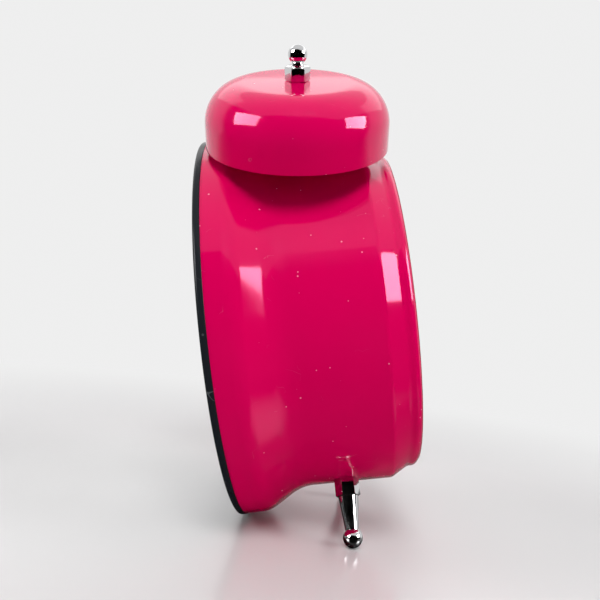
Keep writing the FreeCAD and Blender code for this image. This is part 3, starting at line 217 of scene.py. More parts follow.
def to_mesh(name, work):
    """The mesh of a bmesh, which is freed."""
    mesh = bpy.data.meshes.new(name)
    work.to_mesh(mesh)
    work.free()
    return mesh


def evaluated_mesh(thing):
    """The mesh of an object with its modifiers, or its curve or text settings, applied."""
    graph = bpy.context.evaluated_depsgraph_get()
    graph.update()
    return bpy.data.meshes.new_from_object(thing.evaluated_get(graph))


def from_bmesh(name, work, place, material, sharp=35.0):
    """Finish a bmesh as an object: doubles merged, normals out, placed in its mesh."""
    bmesh.ops.remove_doubles(work, verts=work.verts, dist=1e-7)
    bmesh.ops.recalc_face_normals(work, faces=work.faces)
    bmesh.ops.transform(work, matrix=place, verts=work.verts)
    mesh = to_mesh(name, work)
    smooth_shade(mesh, sharp)
    return new_object(name, mesh, material)


def lathe(name, outline, place, material, segments=256, sharp=35.0):
    """A closed shape turned about the local Y axis from an outline of (radius, station) points."""
    work = bmesh.new()
    rings = []
    for radius, station in outline:
        if radius < 1e-9:
            rings.append([work.verts.new((0.0, station, 0.0))])
            continue
        rings.append([
            work.verts.new((radius * math.cos(turn), station, radius * math.sin(turn)))
            for turn in (2 * math.pi * index / segments for index in range(segments))
        ])
    for first, second in zip(rings, rings[1:] + rings[:1]):
        if len(first) == 1 and len(second) == 1:
            continue
        for index in range(segments):
            following = (index + 1) % segments
            corners = [first[index % len(first)], first[following % len(first)],
                       second[following % len(second)], second[index % len(second)]]
            work.faces.new(list(dict.fromkeys(corners)))
    return from_bmesh(name, work, place, material, sharp)


def boolean(thing, tool, operation):
    """Apply an exact boolean and remove the tool."""
    modifier = thing.modifiers.new("Boolean", "BOOLEAN")
    modifier.operation = operation
    modifier.solver = "EXACT"
    modifier.object = tool
    bake_modifiers(thing)
    bpy.data.objects.remove(tool)


def bake_modifiers(thing):
    """Turn the modified object into a plain mesh."""
    mesh = evaluated_mesh(thing)
    thing.modifiers.clear()
    thing.data = mesh


def add_bevel(thing, width, segments, angle):
    """A bevel on the edges that turn by more than angle."""
    modifier = thing.modifiers.new("Bevel", "BEVEL")
    modifier.width = width
    modifier.segments = segments
    modifier.limit_method = "ANGLE"
    modifier.angle_limit = math.radians(angle)


def bevelled(thing, width, segments=2, angle=40.0):
    """Round an object's sharp edges."""
    add_bevel(thing, width, segments, angle)
    bake_modifiers(thing)
    smooth_shade(thing.data, 50.0)


def block(name, low, high, place, material):
    """A box between two corners."""
    work = bmesh.new()
    bmesh.ops.create_cube(work, size=1.0)
    low = Vector(low)
    high = Vector(high)
    size = high - low
    for vertex in work.verts:
        vertex.co = Vector([low[axis] + size[axis] * (vertex.co[axis] + 0.5) for axis in range(3)])
    return from_bmesh(name, work, place, material)


def joined(name, things):
    """Join objects that share a material into one."""
    work = bmesh.new()
    for thing in things:
        work.from_mesh(thing.data)
    material = things[0].data.materials[0]
    mesh = to_mesh(name, work)
    for thing in things:
        bpy.data.objects.remove(thing)
    smooth_shade(mesh, 40.0)
    return new_object(name, mesh, material)


def along(point, direction, turn=0.0):
    """Placement that takes local +Y to a direction of the clock's frame."""
    spin = Vector((0.0, 1.0, 0.0)).rotation_difference(direction).to_matrix().to_4x4()
    return CLOCK @ Matrix.Translation(point) @ spin @ Matrix.Rotation(turn, 4, "Y")


def hexagon(name, width, low, high, turned_ends, place, material):
    """A hexagonal nut between two heights, with the corners of its low or high end turned off."""
    corner = width / 2 / math.cos(math.pi / 6)
    work = bmesh.new()
    bmesh.ops.create_cone(work, cap_ends=True, segments=6, radius1=corner, radius2=corner, depth=high - low)
    bmesh.ops.rotate(work, matrix=Matrix.Rotation(-math.pi / 2, 3, "X"), verts=work.verts)
    bmesh.ops.translate(work, vec=(0.0, (low + high) / 2, 0.0), verts=work.verts)
    nut = from_bmesh(name, work, Matrix.Identity(4), material)
    flat = width / 2 * HEX_CHAMFER
    slope = (corner - flat) * 0.6
    outer = corner * 1.01
    top = [(outer, high - slope), (flat, high)] if "high" in turned_ends else [(outer, high)]
    bottom = [(flat, low), (outer, low + slope)] if "low" in turned_ends else [(outer, low)]
    limit = lathe(name + "_limit", [(0.0, low)] + bottom + top + [(0.0, high)], Matrix.Identity(4), material,
                  segments=96)
    boolean(nut, limit, "INTERSECT")
    bevelled(nut, width * 0.012, 2, 20.0)
    nut.data.transform(place)
    return nut


def on_circle(radius, turn):
    """Point of a circle, with the turn measured from its top."""
    return radius * math.sin(turn), radius * math.cos(turn)


def ball_end(neck, ball, reach, steps):
    """Outline of a ball on a neck: from the neck to the far pole, with the ball's centre at reach."""
    start = math.asin(neck / ball)
    arc = [(ball * math.sin(angle), reach - ball * math.cos(angle)) for angle in
           (start + (math.pi - start) * step / steps for step in range(steps))]
    return arc + [(0.0, reach + ball)]


# ---------------------------------------------------------------- node tools


def add(tree, kind, settings=None, **inputs):
    """A node with its settings and plain input values or links."""
    item = tree.nodes.new(kind)
    for key, value in (settings or {}).items():
        setattr(item, key, value)
    for key, value in inputs.items():
        feed(tree, item, key.replace("_", " "), value)
    return item


def feed(tree, item, socket, value):
    """Give a socket a value or a link."""
    target = item.inputs[int(socket)] if str(socket).isdigit() else item.inputs[socket]
    if isinstance(value, bpy.types.NodeSocket):
        tree.links.new(value, target)
    else:
        target.default_value = value


def calculate(tree, operation, first, second=0.0, clamp=False):
    """A math node's result."""
    item = tree.nodes.new("ShaderNodeMath")
    item.operation = operation
    item.use_clamp = clamp
    feed(tree, item, 0, first)
    feed(tree, item, 1, second)
    return item.outputs[0]


def blended(tree, factor, first, second):
    """A colour mix's result."""
    item = tree.nodes.new("ShaderNodeMix")
    item.data_type = "RGBA"
    feed(tree, item, 0, factor)
    feed(tree, item, 6, first)
    feed(tree, item, 7, second)
    return item.outputs[2]


def opaque(values):
    """A colour with full alpha."""
    return (*values[:3], 1.0)


def smooth_step(tree, value, low, high):
    """A smooth rise from 0 to 1 while value goes from low to high."""
    item = add(tree, "ShaderNodeMapRange", {"interpolation_type": "SMOOTHSTEP"}, Value=value, From_Min=low,
               From_Max=high)
    return item.outputs[0]


def new_group(name, result, kind="NodeSocketFloat", **levels):
    """A shader node group with a Vector, some plain levels and one result: its tree, inputs and end."""
    tree = bpy.data.node_groups.new(name, "ShaderNodeTree")
    tree.interface.new_socket("Vector", in_out="INPUT", socket_type="NodeSocketVector")
    for label, value in levels.items():
        socket = tree.interface.new_socket(label, in_out="INPUT", socket_type="NodeSocketFloat")
        socket.default_value = value
    tree.interface.new_socket(result, in_out="OUTPUT", socket_type=kind)
    return tree, tree.nodes.new("NodeGroupInput").outputs, tree.nodes.new("NodeGroupOutput")


def make_speck_group():
    """Dust: scattered round specks of random size, as a mask."""
    tree, given, end = new_group("Dust specks", "Mask", Scale=500.0, Amount=0.1, Size=0.2)
    cells = add(tree, "ShaderNodeTexVoronoi", Vector=given["Vector"], Scale=given["Scale"])
    parts = add(tree, "ShaderNodeSeparateColor", Color=cells.outputs["Color"])
    chosen = calculate(tree, "LESS_THAN", parts.outputs["Red"], given["Amount"])
    reach = calculate(tree, "MULTIPLY", parts.outputs["Green"], given["Size"])
    inside = calculate(tree, "SUBTRACT", reach, cells.outputs["Distance"])
    soft = calculate(tree, "MULTIPLY", inside, 12.0, True)
    feed(tree, end, "Mask", calculate(tree, "MULTIPLY", soft, chosen))
    return tree


def make_scratch_group():
    """Fine hairline scratches in two directions, broken up by a slow noise, as a mask."""
    tree, given, end = new_group("Fine scratches", "Mask", Scale=60.0, Width=0.004, Amount=0.4)
    total = None
    for turn, stretch in ((0.5, (1.0, 0.25, 0.6)), (1.9, (0.3, 1.0, 1.0))):
        turned = add(tree, "ShaderNodeMapping", Vector=given["Vector"], Scale=stretch,
                     Rotation=(turn, turn * 0.6, turn * 1.7))
        noise = add(tree, "ShaderNodeTexNoise", Vector=turned.outputs[0], Scale=given["Scale"], Detail=3.0)
        away = calculate(tree, "ABSOLUTE", calculate(tree, "SUBTRACT", noise.outputs["Fac"], 0.5))
        line = calculate(tree, "LESS_THAN", away, given["Width"])
        total = line if total is None else calculate(tree, "MAXIMUM", total, line)
    patches = add(tree, "ShaderNodeTexNoise", Vector=given["Vector"], Scale=130.0, Detail=2.0)
    shown = calculate(tree, "LESS_THAN", patches.outputs["Fac"], given["Amount"])
    feed(tree, end, "Mask", calculate(tree, "MULTIPLY", total, shown))
    return tree


def make_smudge_group():
    """Handling marks: a slow variation between two levels."""
    tree, given, end = new_group("Smudges", "Level", Scale=40.0, Low=0.1, High=0.2)
    noise = add(tree, "ShaderNodeTexNoise", Vector=given["Vector"], Scale=given["Scale"], Detail=5.0,
                Roughness=0.6)
    spread = add(tree, "ShaderNodeMapRange", Value=noise.outputs["Fac"], From_Min=0.35, From_Max=0.7,
                 To_Min=given["Low"], To_Max=given["High"])
    feed(tree, end, "Level", spread.outputs[0])
    return tree


def make_grain_group():
    """A fine surface relief, such as orange peel or moulded grain, as a normal."""
    tree, given, end = new_group("Surface grain", "Normal", "NodeSocketVector", Scale=900.0, Strength=0.1,
                                 Depth=0.00002)
    noise = add(tree, "ShaderNodeTexNoise", Vector=given["Vector"], Scale=given["Scale"], Detail=2.0)
    bump = add(tree, "ShaderNodeBump", Strength=given["Strength"], Distance=given["Depth"],
               Height=noise.outputs["Fac"])
    feed(tree, end, "Normal", bump.outputs[0])
    return tree


def placed_group(tree, group, vector, **values):
    """A shader node group placed in a material with its own values."""
    item = tree.nodes.new("ShaderNodeGroup")
    item.node_tree = group
    feed(tree, item, "Vector", vector)
    for key, value in values.items():
        feed(tree, item, key, value)
    return item.outputs[0]


def new_material(name):
    """A node material: itself, its tree, its Principled shader and its Object coordinates."""
    material = bpy.data.materials.new(name)
    material.use_nodes = True
    tree = material.node_tree
    return material, tree, tree.nodes["Principled BSDF"], tree.nodes.new("ShaderNodeTexCoord").outputs["Object"]


def set_constants(shader, **values):
    """Set plain values on a shader's own sockets."""
    for label, value in values.items():
        shader.inputs[label.replace("_", " ")].default_value = value


def handled(tree, shader, vector, groups, smudge, grain):
    """Give a shader handling marks as (scale, low, high) and a relief as (scale, strength, depth)."""
    marks = dict(zip(("Scale", "Low", "High"), smudge))
    relief = dict(zip(("Scale", "Strength", "Depth"), grain))
    feed(tree, shader, "Roughness", placed_group(tree, groups["smudges"], vector, **marks))
    feed(tree, shader, "Normal", placed_group(tree, groups["grain"], vector, **relief))


def clouded(tree, vector, scale, detail, first, second):
    """A slow drift between two plain colours."""
    clouds = add(tree, "ShaderNodeTexNoise", Vector=vector, Scale=scale, Detail=detail)
    return blended(tree, clouds.outputs["Fac"], opaque(first), opaque(second))


def make_paint(groups, finish):
    """Gloss enamel with slight orange peel, dust, fine scratches and handling marks."""
    material, tree, shader, vector = new_material("Gloss enamel")
    body = clouded(tree, vector, 22.0, 3.0, tuple(channel * 0.93 for channel in finish.paint), finish.paint)
    fine = placed_group(tree, groups["specks"], vector, Scale=900.0, Amount=0.05, Size=0.26)
    coarse = placed_group(tree, groups["specks"], vector, Scale=420.0, Amount=0.015, Size=0.13)
    lines = placed_group(tree, groups["scratches"], vector, Scale=70.0, Width=0.0012, Amount=0.36)
    dust = calculate(tree, "MAXIMUM", fine, coarse)
    marks = calculate(tree, "MAXIMUM", dust, calculate(tree, "MULTIPLY", lines, 0.12))
    shown = calculate(tree, "MULTIPLY", marks, 0.7)
    dulled = calculate(tree, "MULTIPLY", marks, 0.4)
    smudge = placed_group(tree, groups["smudges"], vector, Scale=35.0, Low=0.06, High=0.13)
    relief = placed_group(tree, groups["grain"], vector, Scale=420.0, Strength=0.05, Depth=0.0001)
    feed(tree, shader, "Roughness", calculate(tree, "ADD", smudge, dulled, True))
    feed(tree, shader, "Normal", relief)
    feed(tree, shader, "Base Color", blended(tree, shown, body, opaque(finish.dust)))
    set_constants(shader, Specular_Tint=(1.0, 0.3, 0.55, 1.0), Coat_Weight=0.1, Coat_Roughness=0.03)
    return material


def make_gloss_black(groups, finish):
    """Gloss black plastic with dust and hairlines."""
    material, tree, shader, vector = new_material("Gloss black")
    specks = placed_group(tree, groups["specks"], vector, Scale=500.0, Amount=0.05, Size=0.22)
    lines = placed_group(tree, groups["scratches"], vector, Scale=90.0, Width=0.0012, Amount=0.34)
    marks = calculate(tree, "MULTIPLY", calculate(tree, "MAXIMUM", specks, lines), 0.2)
    pale_grey = (0.30, 0.32, 0.34, 1.0)
    feed(tree, shader, "Base Color", blended(tree, marks, opaque(finish.bezel), pale_grey))
    handled(tree, shader, vector, groups, (60.0, 0.14, 0.26), (700.0, 0.05, 0.0001))
    set_constants(shader, Specular_IOR_Level=0.1)
    return material


def make_metal(name, groups, tint, low, high, grain):
    """Plated or plain metal with smudges."""
    material, tree, shader, vector = new_material(name)
    dull = tuple(channel * 0.86 for channel in tint)
    feed(tree, shader, "Base Color", clouded(tree, vector, 300.0, 2.0, dull, tint))
    handled(tree, shader, vector, groups, (180.0, low, high), (1500.0, grain, 0.00005))
    set_constants(shader, Metallic=1.0)
    return material


def make_plastic(name, groups, tint, low, high, grain):
    """Moulded plastic or print with a fine grain."""
    material, tree, shader, vector = new_material(name)
    pale = tuple(min(1.0, channel * 1.12 + 0.003) for channel in tint)
    feed(tree, shader, "Base Color", clouded(tree, vector, 90.0, 4.0, tint, pale))
    handled(tree, shader, vector, groups, (70.0, low, high), (1400.0, grain, 0.0001))
    return material


def make_clear(groups):
    """Clear acrylic."""
    material, tree, shader, vector = new_material("Clear acrylic")
    feed(tree, shader, "Roughness", placed_group(tree, groups["smudges"], vector, Scale=30.0, Low=0.0, High=0.03))
    set_constants(shader, Base_Color=(0.97, 0.98, 0.99, 1.0), IOR=1.49, Transmission_Weight=1.0)
    return material


def make_materials():
    """Every material of the clock, by its plain name."""
    finish = bpy.context.scene.clock_finish
    groups = {
        "specks": make_speck_group(), "scratches": make_scratch_group(),
        "smudges": make_smudge_group(), "grain": make_grain_group(),
    }
    made = {"paint": make_paint(groups, finish), "gloss_black": make_gloss_black(groups, finish),
            "clear": make_clear(groups)}
    # Each row: material's name, tint, lowest roughness, highest roughness, strength of its grain.
    metals = {
        "chrome": ("Chrome plate", tuple(finish.chrome), 0.04, 0.12, 0.04),
        "zinc": ("Zinc plate", (0.55, 0.55, 0.56), 0.28, 0.42, 0.2),
        "brass": ("Brass", (0.80, 0.58, 0.25), 0.22, 0.35, 0.15),
        "copper": ("Enamelled copper", (0.66, 0.26, 0.10), 0.25, 0.4, 0.3),
    }
    plastics = {
        "plastic": ("Moulded black", tuple(finish.plastic), 0.42, 0.55, 0.35),
        "nylon": ("White nylon", (0.80, 0.79, 0.74), 0.35, 0.5, 0.15),
        "dial": ("Dial face", tuple(finish.dial), 0.5, 0.62, 0.1),
        "print": ("Black print", tuple(finish.print_black), 0.35, 0.5, 0.1),
        "red": ("Red print", (0.55, 0.02, 0.02), 0.3, 0.45, 0.1),
        "board": ("Circuit board", (0.01, 0.16, 0.06), 0.3, 0.45, 0.2),
        "wrap": ("Cell wrap", (0.03, 0.03, 0.035), 0.18, 0.28, 0.05),
        "wrap_band": ("Cell band", (0.70, 0.42, 0.12), 0.2, 0.3, 0.05),
    }
    for make, table in ((make_metal, metals), (make_plastic, plastics)):
        for name, (title, *values) in table.items():
            made[name] = make(title, groups, *values)
    return made


def finish_node(node, material):
    """Give a CAD node a material."""
    dress(frame["nodes"][node], MATERIALS[material])


def ready(thing, body, slot, *nodes):
    """Ride a finished piece on a body and hide the nodes that it stands for; the slot is not used."""
    if nodes:
        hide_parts(*nodes)
    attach(thing, body)


def clock_box(node):
    """Lowest and highest corners of a CAD node in the clock's own frame."""
    back = CLOCK.inverted()
    points = [back @ vertex.co for vertex in frame["nodes"][node].data.vertices]
    return (Vector([min(point[axis] for point in points) for axis in range(3)]),
            Vector([max(point[axis] for point in points) for axis in range(3)]))


def refined(node, name, material, width, segments=2, angle=30.0):
    """A copy of a CAD node with its sharp edges rounded and its flats kept flat."""
    work = bmesh.new()
    work.from_mesh(frame["nodes"][node].data)
    bmesh.ops.remove_doubles(work, verts=work.verts, dist=2e-6)
    bmesh.ops.dissolve_limit(work, angle_limit=math.radians(0.5), verts=work.verts, edges=work.edges)
    bmesh.ops.recalc_face_normals(work, faces=work.faces)
    mesh = to_mesh(name, work)
    mesh.shade_smooth()
    thing = new_object(name, mesh, MATERIALS[material])
    add_bevel(thing, width, segments, angle)
    flats = thing.modifiers.new("Weighted", "WEIGHTED_NORMAL")
    flats.mode = "FACE_AREA"
    flats.weight = 90
    bake_modifiers(thing)
    return dress(thing, MATERIALS[material])


# ---------------------------------------------------------------- geometry node trees


def new_block_tree(name, **inputs):
    """A geometry node tree with named inputs and one geometry: the tree and its inputs."""
    tree = bpy.data.node_groups.new(name, "GeometryNodeTree")
    for label, kind in inputs.items():
        tree.interface.new_socket(label.replace("_", " "), in_out="INPUT", socket_type="NodeSocket" + kind)
    tree.interface.new_socket("Geometry", in_out="OUTPUT", socket_type="NodeSocketGeometry")
    return tree, tree.nodes.new("NodeGroupInput").outputs


def set_blocks(tree, given, points, **turn):
    """Put a block on every point, as one mesh with its material."""
    one = add(tree, "GeometryNodeMeshCube", Size=given["Size"])
    spread = add(tree, "GeometryNodeInstanceOnPoints", Points=points.outputs[0], Instance=one.outputs[0], **turn)
    whole = add(tree, "GeometryNodeRealizeInstances", Geometry=spread.outputs[0])
    painted = add(tree, "GeometryNodeSetMaterial", Geometry=whole.outputs[0], Material=given["Material"])
    feed(tree, tree.nodes.new("NodeGroupOutput"), "Geometry", painted.outputs[0])
    return tree


def make_ring_tree():
    """Blocks evenly spaced round the local Y axis."""
    tree, given = new_block_tree("Ring of blocks", Count="Int", Radius="Float", Size="Vector",
                                 Material="Material")
    index = tree.nodes.new("GeometryNodeInputIndex").outputs[0]
    angle = calculate(tree, "MULTIPLY", index, calculate(tree, "DIVIDE", 2 * math.pi, given["Count"]))
    across = calculate(tree, "MULTIPLY", calculate(tree, "SINE", angle), given["Radius"])
    upward = calculate(tree, "MULTIPLY", calculate(tree, "COSINE", angle), given["Radius"])
    place = add(tree, "ShaderNodeCombineXYZ", X=across, Z=upward).outputs[0]
    points = add(tree, "GeometryNodePoints", Count=given["Count"], Position=place)
    turn = add(tree, "ShaderNodeCombineXYZ", Y=angle).outputs[0]
    return set_blocks(tree, given, points, Rotation=turn)


def make_row_tree():
    """Blocks in a straight row, each a step from the last."""
    tree, given = new_block_tree("Row of blocks", Count="Int", Step="Vector", Size="Vector", Material="Material")
    return set_blocks(tree, given, add(tree, "GeometryNodeMeshLine", Count=given["Count"], Offset=given["Step"]))


def grown(name, tree, place, material, **values):
    """The result of a node tree as a plain mesh."""
    thing = new_object(name, bpy.data.meshes.new(name), MATERIALS[material])
    modifier = thing.modifiers.new("Tree", "NODES")
    modifier.node_group = tree
    sockets = {item.name: item.identifier for item in tree.interface.items_tree if item.in_out == "INPUT"}
    for label, value in values.items():
        modifier[sockets[label]] = value
    modifier[sockets["Material"]] = MATERIALS[material]
    bake_modifiers(thing)
    thing.data.transform(place)
    return dress(thing, MATERIALS[material])


# ---------------------------------------------------------------- pieces


def bell_axis(side):
    """Centre of a bell's rim and the bell's outward direction."""
    sizes = bpy.context.scene.clock_sizes
    across, up = on_circle(1.0, BELL_ANGLE)
    level = math.cos(BELL_LEAN)
    direction = Vector((side * across * level, math.sin(BELL_LEAN), up * level))
    rim = Vector((side * across, 0.0, up)) * sizes.bell_distance
    return rim + Vector((0.0, sizes.bell_station, 0.0)), direction


def foot_axis(side):
    """Point on the clock's axis and outward direction of a foot."""
    across, up = on_circle(1.0, FOOT_ANGLE)
    return Vector((0.0, bpy.context.scene.clock_sizes.foot_station, 0.0)), Vector((side * across, 0.0, -up))


class CLOCK_OT_case(bpy.types.Operator):
    """Turn the painted case and cut its hammer slot"""

    bl_idname = "clock.case"
    bl_label = "Case"

    def execute(self, context):
        s = context.scene.clock_sizes
        wall = s.case_wall
        lip = s.case_back - 1.6 * MM
        lip_round = 0.3 * MM
        flare_round, cove_round, shoulder_round, step_round = 9.0 * MM, 13.0 * MM, 2.5 * MM, 3.0 * MM
        outside = [
            (s.case_front, s.bezel_depth), (s.case_front, s.front_band, flare_round),
            (s.case_radius, s.front_cove, cove_round), (s.case_radius, s.back_shoulder, shoulder_round),
            (s.case_back, s.back_band, step_round), (s.case_back, s.case_depth, 2.0 * MM),
            (lip, s.case_depth, lip_round),
        ]
        inside = [
            (lip, s.case_depth - wall, lip_round), (s.case_back - wall, s.case_depth - wall, 1.2 * MM),
            (s.case_back - wall, s.back_band, step_round + wall),
            (s.case_radius - wall, s.back_shoulder - wall / 4, shoulder_round - wall),
            (s.case_radius - wall, s.front_cove - wall / 2, cove_round + wall),
            (s.case_front - wall, s.front_band - wall / 2, flare_round - wall),
            (s.case_front - wall, s.bezel_depth),
        ]
        shell = lathe("case", rounded(outside + inside, 14), CLOCK, MATERIALS["paint"], 320, 50.0)
        slot_low, slot_high = Vector((-3.5, 27.0, 45.0)) * MM, Vector((3.5, 31.0, 56.0)) * MM
        slot = block("slot", slot_low, slot_high, CLOCK, MATERIALS["paint"])
        boolean(shell, slot, "DIFFERENCE")
        smooth_shade(shell.data, 50.0)
        ready(shell, "clock", "pink_paint", "case_shell")
        return {"FINISHED"}


class CLOCK_OT_front(bpy.types.Operator):
    """Make the bezel and the lens"""

    bl_idname = "clock.front"
    bl_label = "Bezel and lens"

    def execute(self, context):
        s = context.scene.clock_sizes
        spigot = s.case_front - s.case_wall - 0.5 * MM
        spigot_end, spigot_bore, lens_seat = 9.0 * MM, 53.4 * MM, 2.4 * MM
        outline = rounded([
            (s.bezel_opening, s.bezel_bevel / 2, 0.25 * MM), (s.bezel_opening + s.bezel_bevel, 0.0, 0.4 * MM),
            (s.bezel_radius, 0.0, 0.8 * MM), (s.bezel_radius, s.bezel_depth, 0.15 * MM), (spigot, s.bezel_depth),
            (spigot, spigot_end), (spigot_bore, spigot_end), (spigot_bore, lens_seat),
            (s.bezel_opening, lens_seat),
        ], 6)
        bezel = lathe("bezel", outline, CLOCK, MATERIALS["gloss_black"], 320, 50.0)
        ready(bezel, "clock", "black_gloss", "bezel_ring")
        finish_node("dial_lens", "clear")
        return {"FINISHED"}


def dial_number(hour, sizes):
    """The mesh of an hour's number in its place on the dial."""
    text = bpy.data.curves.new(f"number_{hour}", "FONT")
    text.body = str(hour)
    text.size = sizes.numeral_height * 1.35
    text.align_x = "CENTER"
    text.align_y = "CENTER"
    text.extrude = 0.06 * MM
    text.offset = 0.18 * MM
    typed = bpy.data.objects.new(f"number_{hour}", text)
    bpy.context.scene.collection.objects.link(typed)
    mesh = evaluated_mesh(typed)
    name = typed.name
    bpy.data.objects.remove(typed)
    letter = new_object(name, mesh, MATERIALS["print"])
    middle = sum((Vector(corner) for corner in letter.bound_box), Vector()) / 8
    across, up = on_circle(sizes.numeral_circle, math.radians(30.0 * hour))
    spot = Matrix.Translation((across, sizes.dial_front - 0.08 * MM, up))
    letter.data.transform(Matrix.Translation(-middle))
    letter.data.transform(CLOCK @ spot @ Matrix.Rotation(math.pi / 2, 4, "X"))
    return letter


class CLOCK_OT_dial(bpy.types.Operator):
    """Print the dial: its numbers and the minute track"""

    bl_idname = "clock.dial"
    bl_label = "Dial"

    def execute(self, context):
        s = context.scene.clock_sizes
        finish_node("dial_plate", "dial")
        finish_node("rehaut_ring", "dial")
        ready(joined("dial_numbers", [dial_number(hour, s) for hour in range(1, 13)]), "clock", "black_print")
        place = CLOCK @ Matrix.Translation((0.0, s.dial_front - 0.06 * MM, 0.0))
        track = grown("minute_track", make_ring_tree(), place, "print", Count=60, Radius=48.6 * MM,
                      Size=(0.35 * MM, 0.12 * MM, 1.5 * MM))
        ready(track, "clock", "black_print")
        return {"FINISHED"}


class CLOCK_OT_bells(bpy.types.Operator):
    """Spin the two bells"""

    bl_idname = "clock.bells"
    bl_label = "Bells"

    def execute(self, context):
        s = context.scene.clock_sizes
        wall = s.bell_wall
        crown = s.bell_height - s.bell_crown
        hole = 1.6 * MM
        outline = rounded([
            (hole, s.bell_height), (s.bell_seat, s.bell_height, 1.5 * MM), (s.bell_radius, crown, s.bell_round),
            (s.bell_radius, 0.0, 0.25 * MM), (s.bell_radius - wall, 0.0, 0.25 * MM),
            (s.bell_radius - wall, crown - wall, s.bell_round - wall), (s.bell_seat, s.bell_height - wall, 1.5 * MM),
            (hole, s.bell_height - wall),
        ], 22)
        for side, name in SIDES:
            point, direction = bell_axis(side)
            bell = lathe(f"bell_dome_{name}", outline, along(point, direction), MATERIALS["paint"], 256, 50.0)
            ready(bell, "clock", "pink_paint", f"bell_{name}")
        finish_node("bell_spacers", "paint")
        finish_node("bell_studs", "chrome")
        finish_node("bell_nuts", "zinc")
        return {"FINISHED"}


class CLOCK_OT_finials(bpy.types.Operator):
    """Make the hexagonal finials with their balls"""

    bl_idname = "clock.finials"
    bl_label = "Finials"

    def execute(self, context):
        s = context.scene.clock_sizes
        low = s.bell_height
        high = low + s.finial_hex
        neck = 1.5 * MM
        root = high - 0.3 * MM
        outline = [(0.0, root), (neck + 0.6 * MM, root), (neck + 0.55 * MM, high + 0.05 * MM),
                   (neck + 0.15 * MM, high + 0.25 * MM)] + ball_end(neck, s.finial_ball, s.finial_reach, 40)
        pieces = []
        for side, name in SIDES:
            place = along(*bell_axis(side), FINIAL_TURN * side)
            chrome = MATERIALS["chrome"]
            pieces.append(hexagon(f"finial_nut_{name}", s.hex_width, low, high, "low high", place, chrome))
            pieces.append(lathe(f"finial_ball_{name}", outline, place, chrome, 96, 60.0))
        ready(joined("finials", pieces), "clock", "chrome", "bell_finials")
        return {"FINISHED"}


class CLOCK_OT_feet(bpy.types.Operator):
    """Make the taper feet"""

    bl_idname = "clock.feet"
    bl_label = "Feet"

    def execute(self, context):
        s = context.scene.clock_sizes
        collar_start, collar_end = s.case_radius - 0.5 * MM, s.case_radius + s.foot_hex
        root = collar_end - 0.2 * MM
        root_radius, waist = 2.9 * MM, 1.9 * MM
        ball = ball_end(waist, s.foot_ball, s.foot_reach, 44)
        outline = [(0.0, root), (root_radius, root), (waist, ball[0][1] - 0.15 * MM)] + ball
        for side, name in SIDES:
            place = along(*foot_axis(side), FOOT_TURN * side)
            chrome = MATERIALS["chrome"]
            collar = hexagon(f"foot_collar_{name}", s.hex_width + 0.2 * MM, collar_start, collar_end, "high",
                             place, chrome)
            leg = lathe(f"foot_leg_{name}", outline, place, chrome, 96, 40.0)
            ready(joined(f"foot_stand_{name}", [collar, leg]), "clock", "chrome", f"foot_{name}")
        finish_node("foot_nuts", "zinc")
        return {"FINISHED"}


class CLOCK_OT_works(bpy.types.Operator):
    """Finish the movement, the battery box, the cell contacts and the other parts inside the case"""

    bl_idname = "clock.works"
    bl_label = "Works"

    def execute(self, context):
        for material, nodes in {
            "nylon": ("alarm_wheel", "hour_wheel", "minute_wheel", "centre_wheel", "third_wheel", "second_wheel",
                      "intermediate_wheel", "rotor", "time_stem", "alarm_stem", "motor_cam"),
            "brass": ("minute_arbor",),
            "plastic": ("movement_front", "movement_back", "rear_posts", "battery_box"),
            "zinc": ("alarm_bracket", "alarm_motor", "hammer_pin", "stator", "cell_contacts"),
            "copper": ("coil",), "board": ("circuit_board",),
        }.items():
            for node in nodes:
                finish_node(node, material)
        return {"FINISHED"}


class CLOCK_OT_hands(bpy.types.Operator):
    """Round the edges of the hands and the hour blocks"""

    bl_idname = "clock.hands"
    bl_label = "Hands"

    def execute(self, context):
        edge = 0.08 * MM
        for body, material in (("hour", "print"), ("minute", "print"), ("second", "print"), ("alarm", "red")):
            slot = "red_print" if material == "red" else "black_print"
            node = body + "_hand"
            ready(refined(node, node + "_round", material, edge), body, slot, node)
        ready(refined("hour_markers", "hour_blocks", "print", edge), "clock", "black_print", "hour_markers")
        return {"FINISHED"}


class CLOCK_OT_hammer(bpy.types.Operator):
    """Round the hammer's head and arm"""

    bl_idname = "clock.hammer"
    bl_label = "Hammer"

    def execute(self, context):
        ready(refined("hammer_head", "hammer_drum", "chrome", 0.5 * MM, 4), "hammer", "chrome", "hammer_head")
        ready(refined("hammer_arm", "hammer_rod", "chrome", 0.1 * MM), "hammer", "chrome", "hammer_arm")
        return {"FINISHED"}


class CLOCK_OT_back(bpy.types.Operator):
    """Round the rear cover, its knobs, screws, switch and battery door"""

    bl_idname = "clock.back"
    bl_label = "Back"

    def execute(self, context):
        for node, body, width in (
            ("rear_cover", "clock", 0.25), ("battery_door", "battery_door", 0.2), ("cover_screws", "clock", 0.25),
            ("alarm_switch", "alarm_switch", 0.25), ("time_knob", "time_setting", 0.25),
            ("alarm_knob", "alarm_setting", 0.25),
        ):
            material, slot = ("zinc", "zinc_steel") if node == "cover_screws" else ("plastic", "black_plastic")
            ready(refined(node, node + "_round", material, width * MM), body, slot, node)
        return {"FINISHED"}


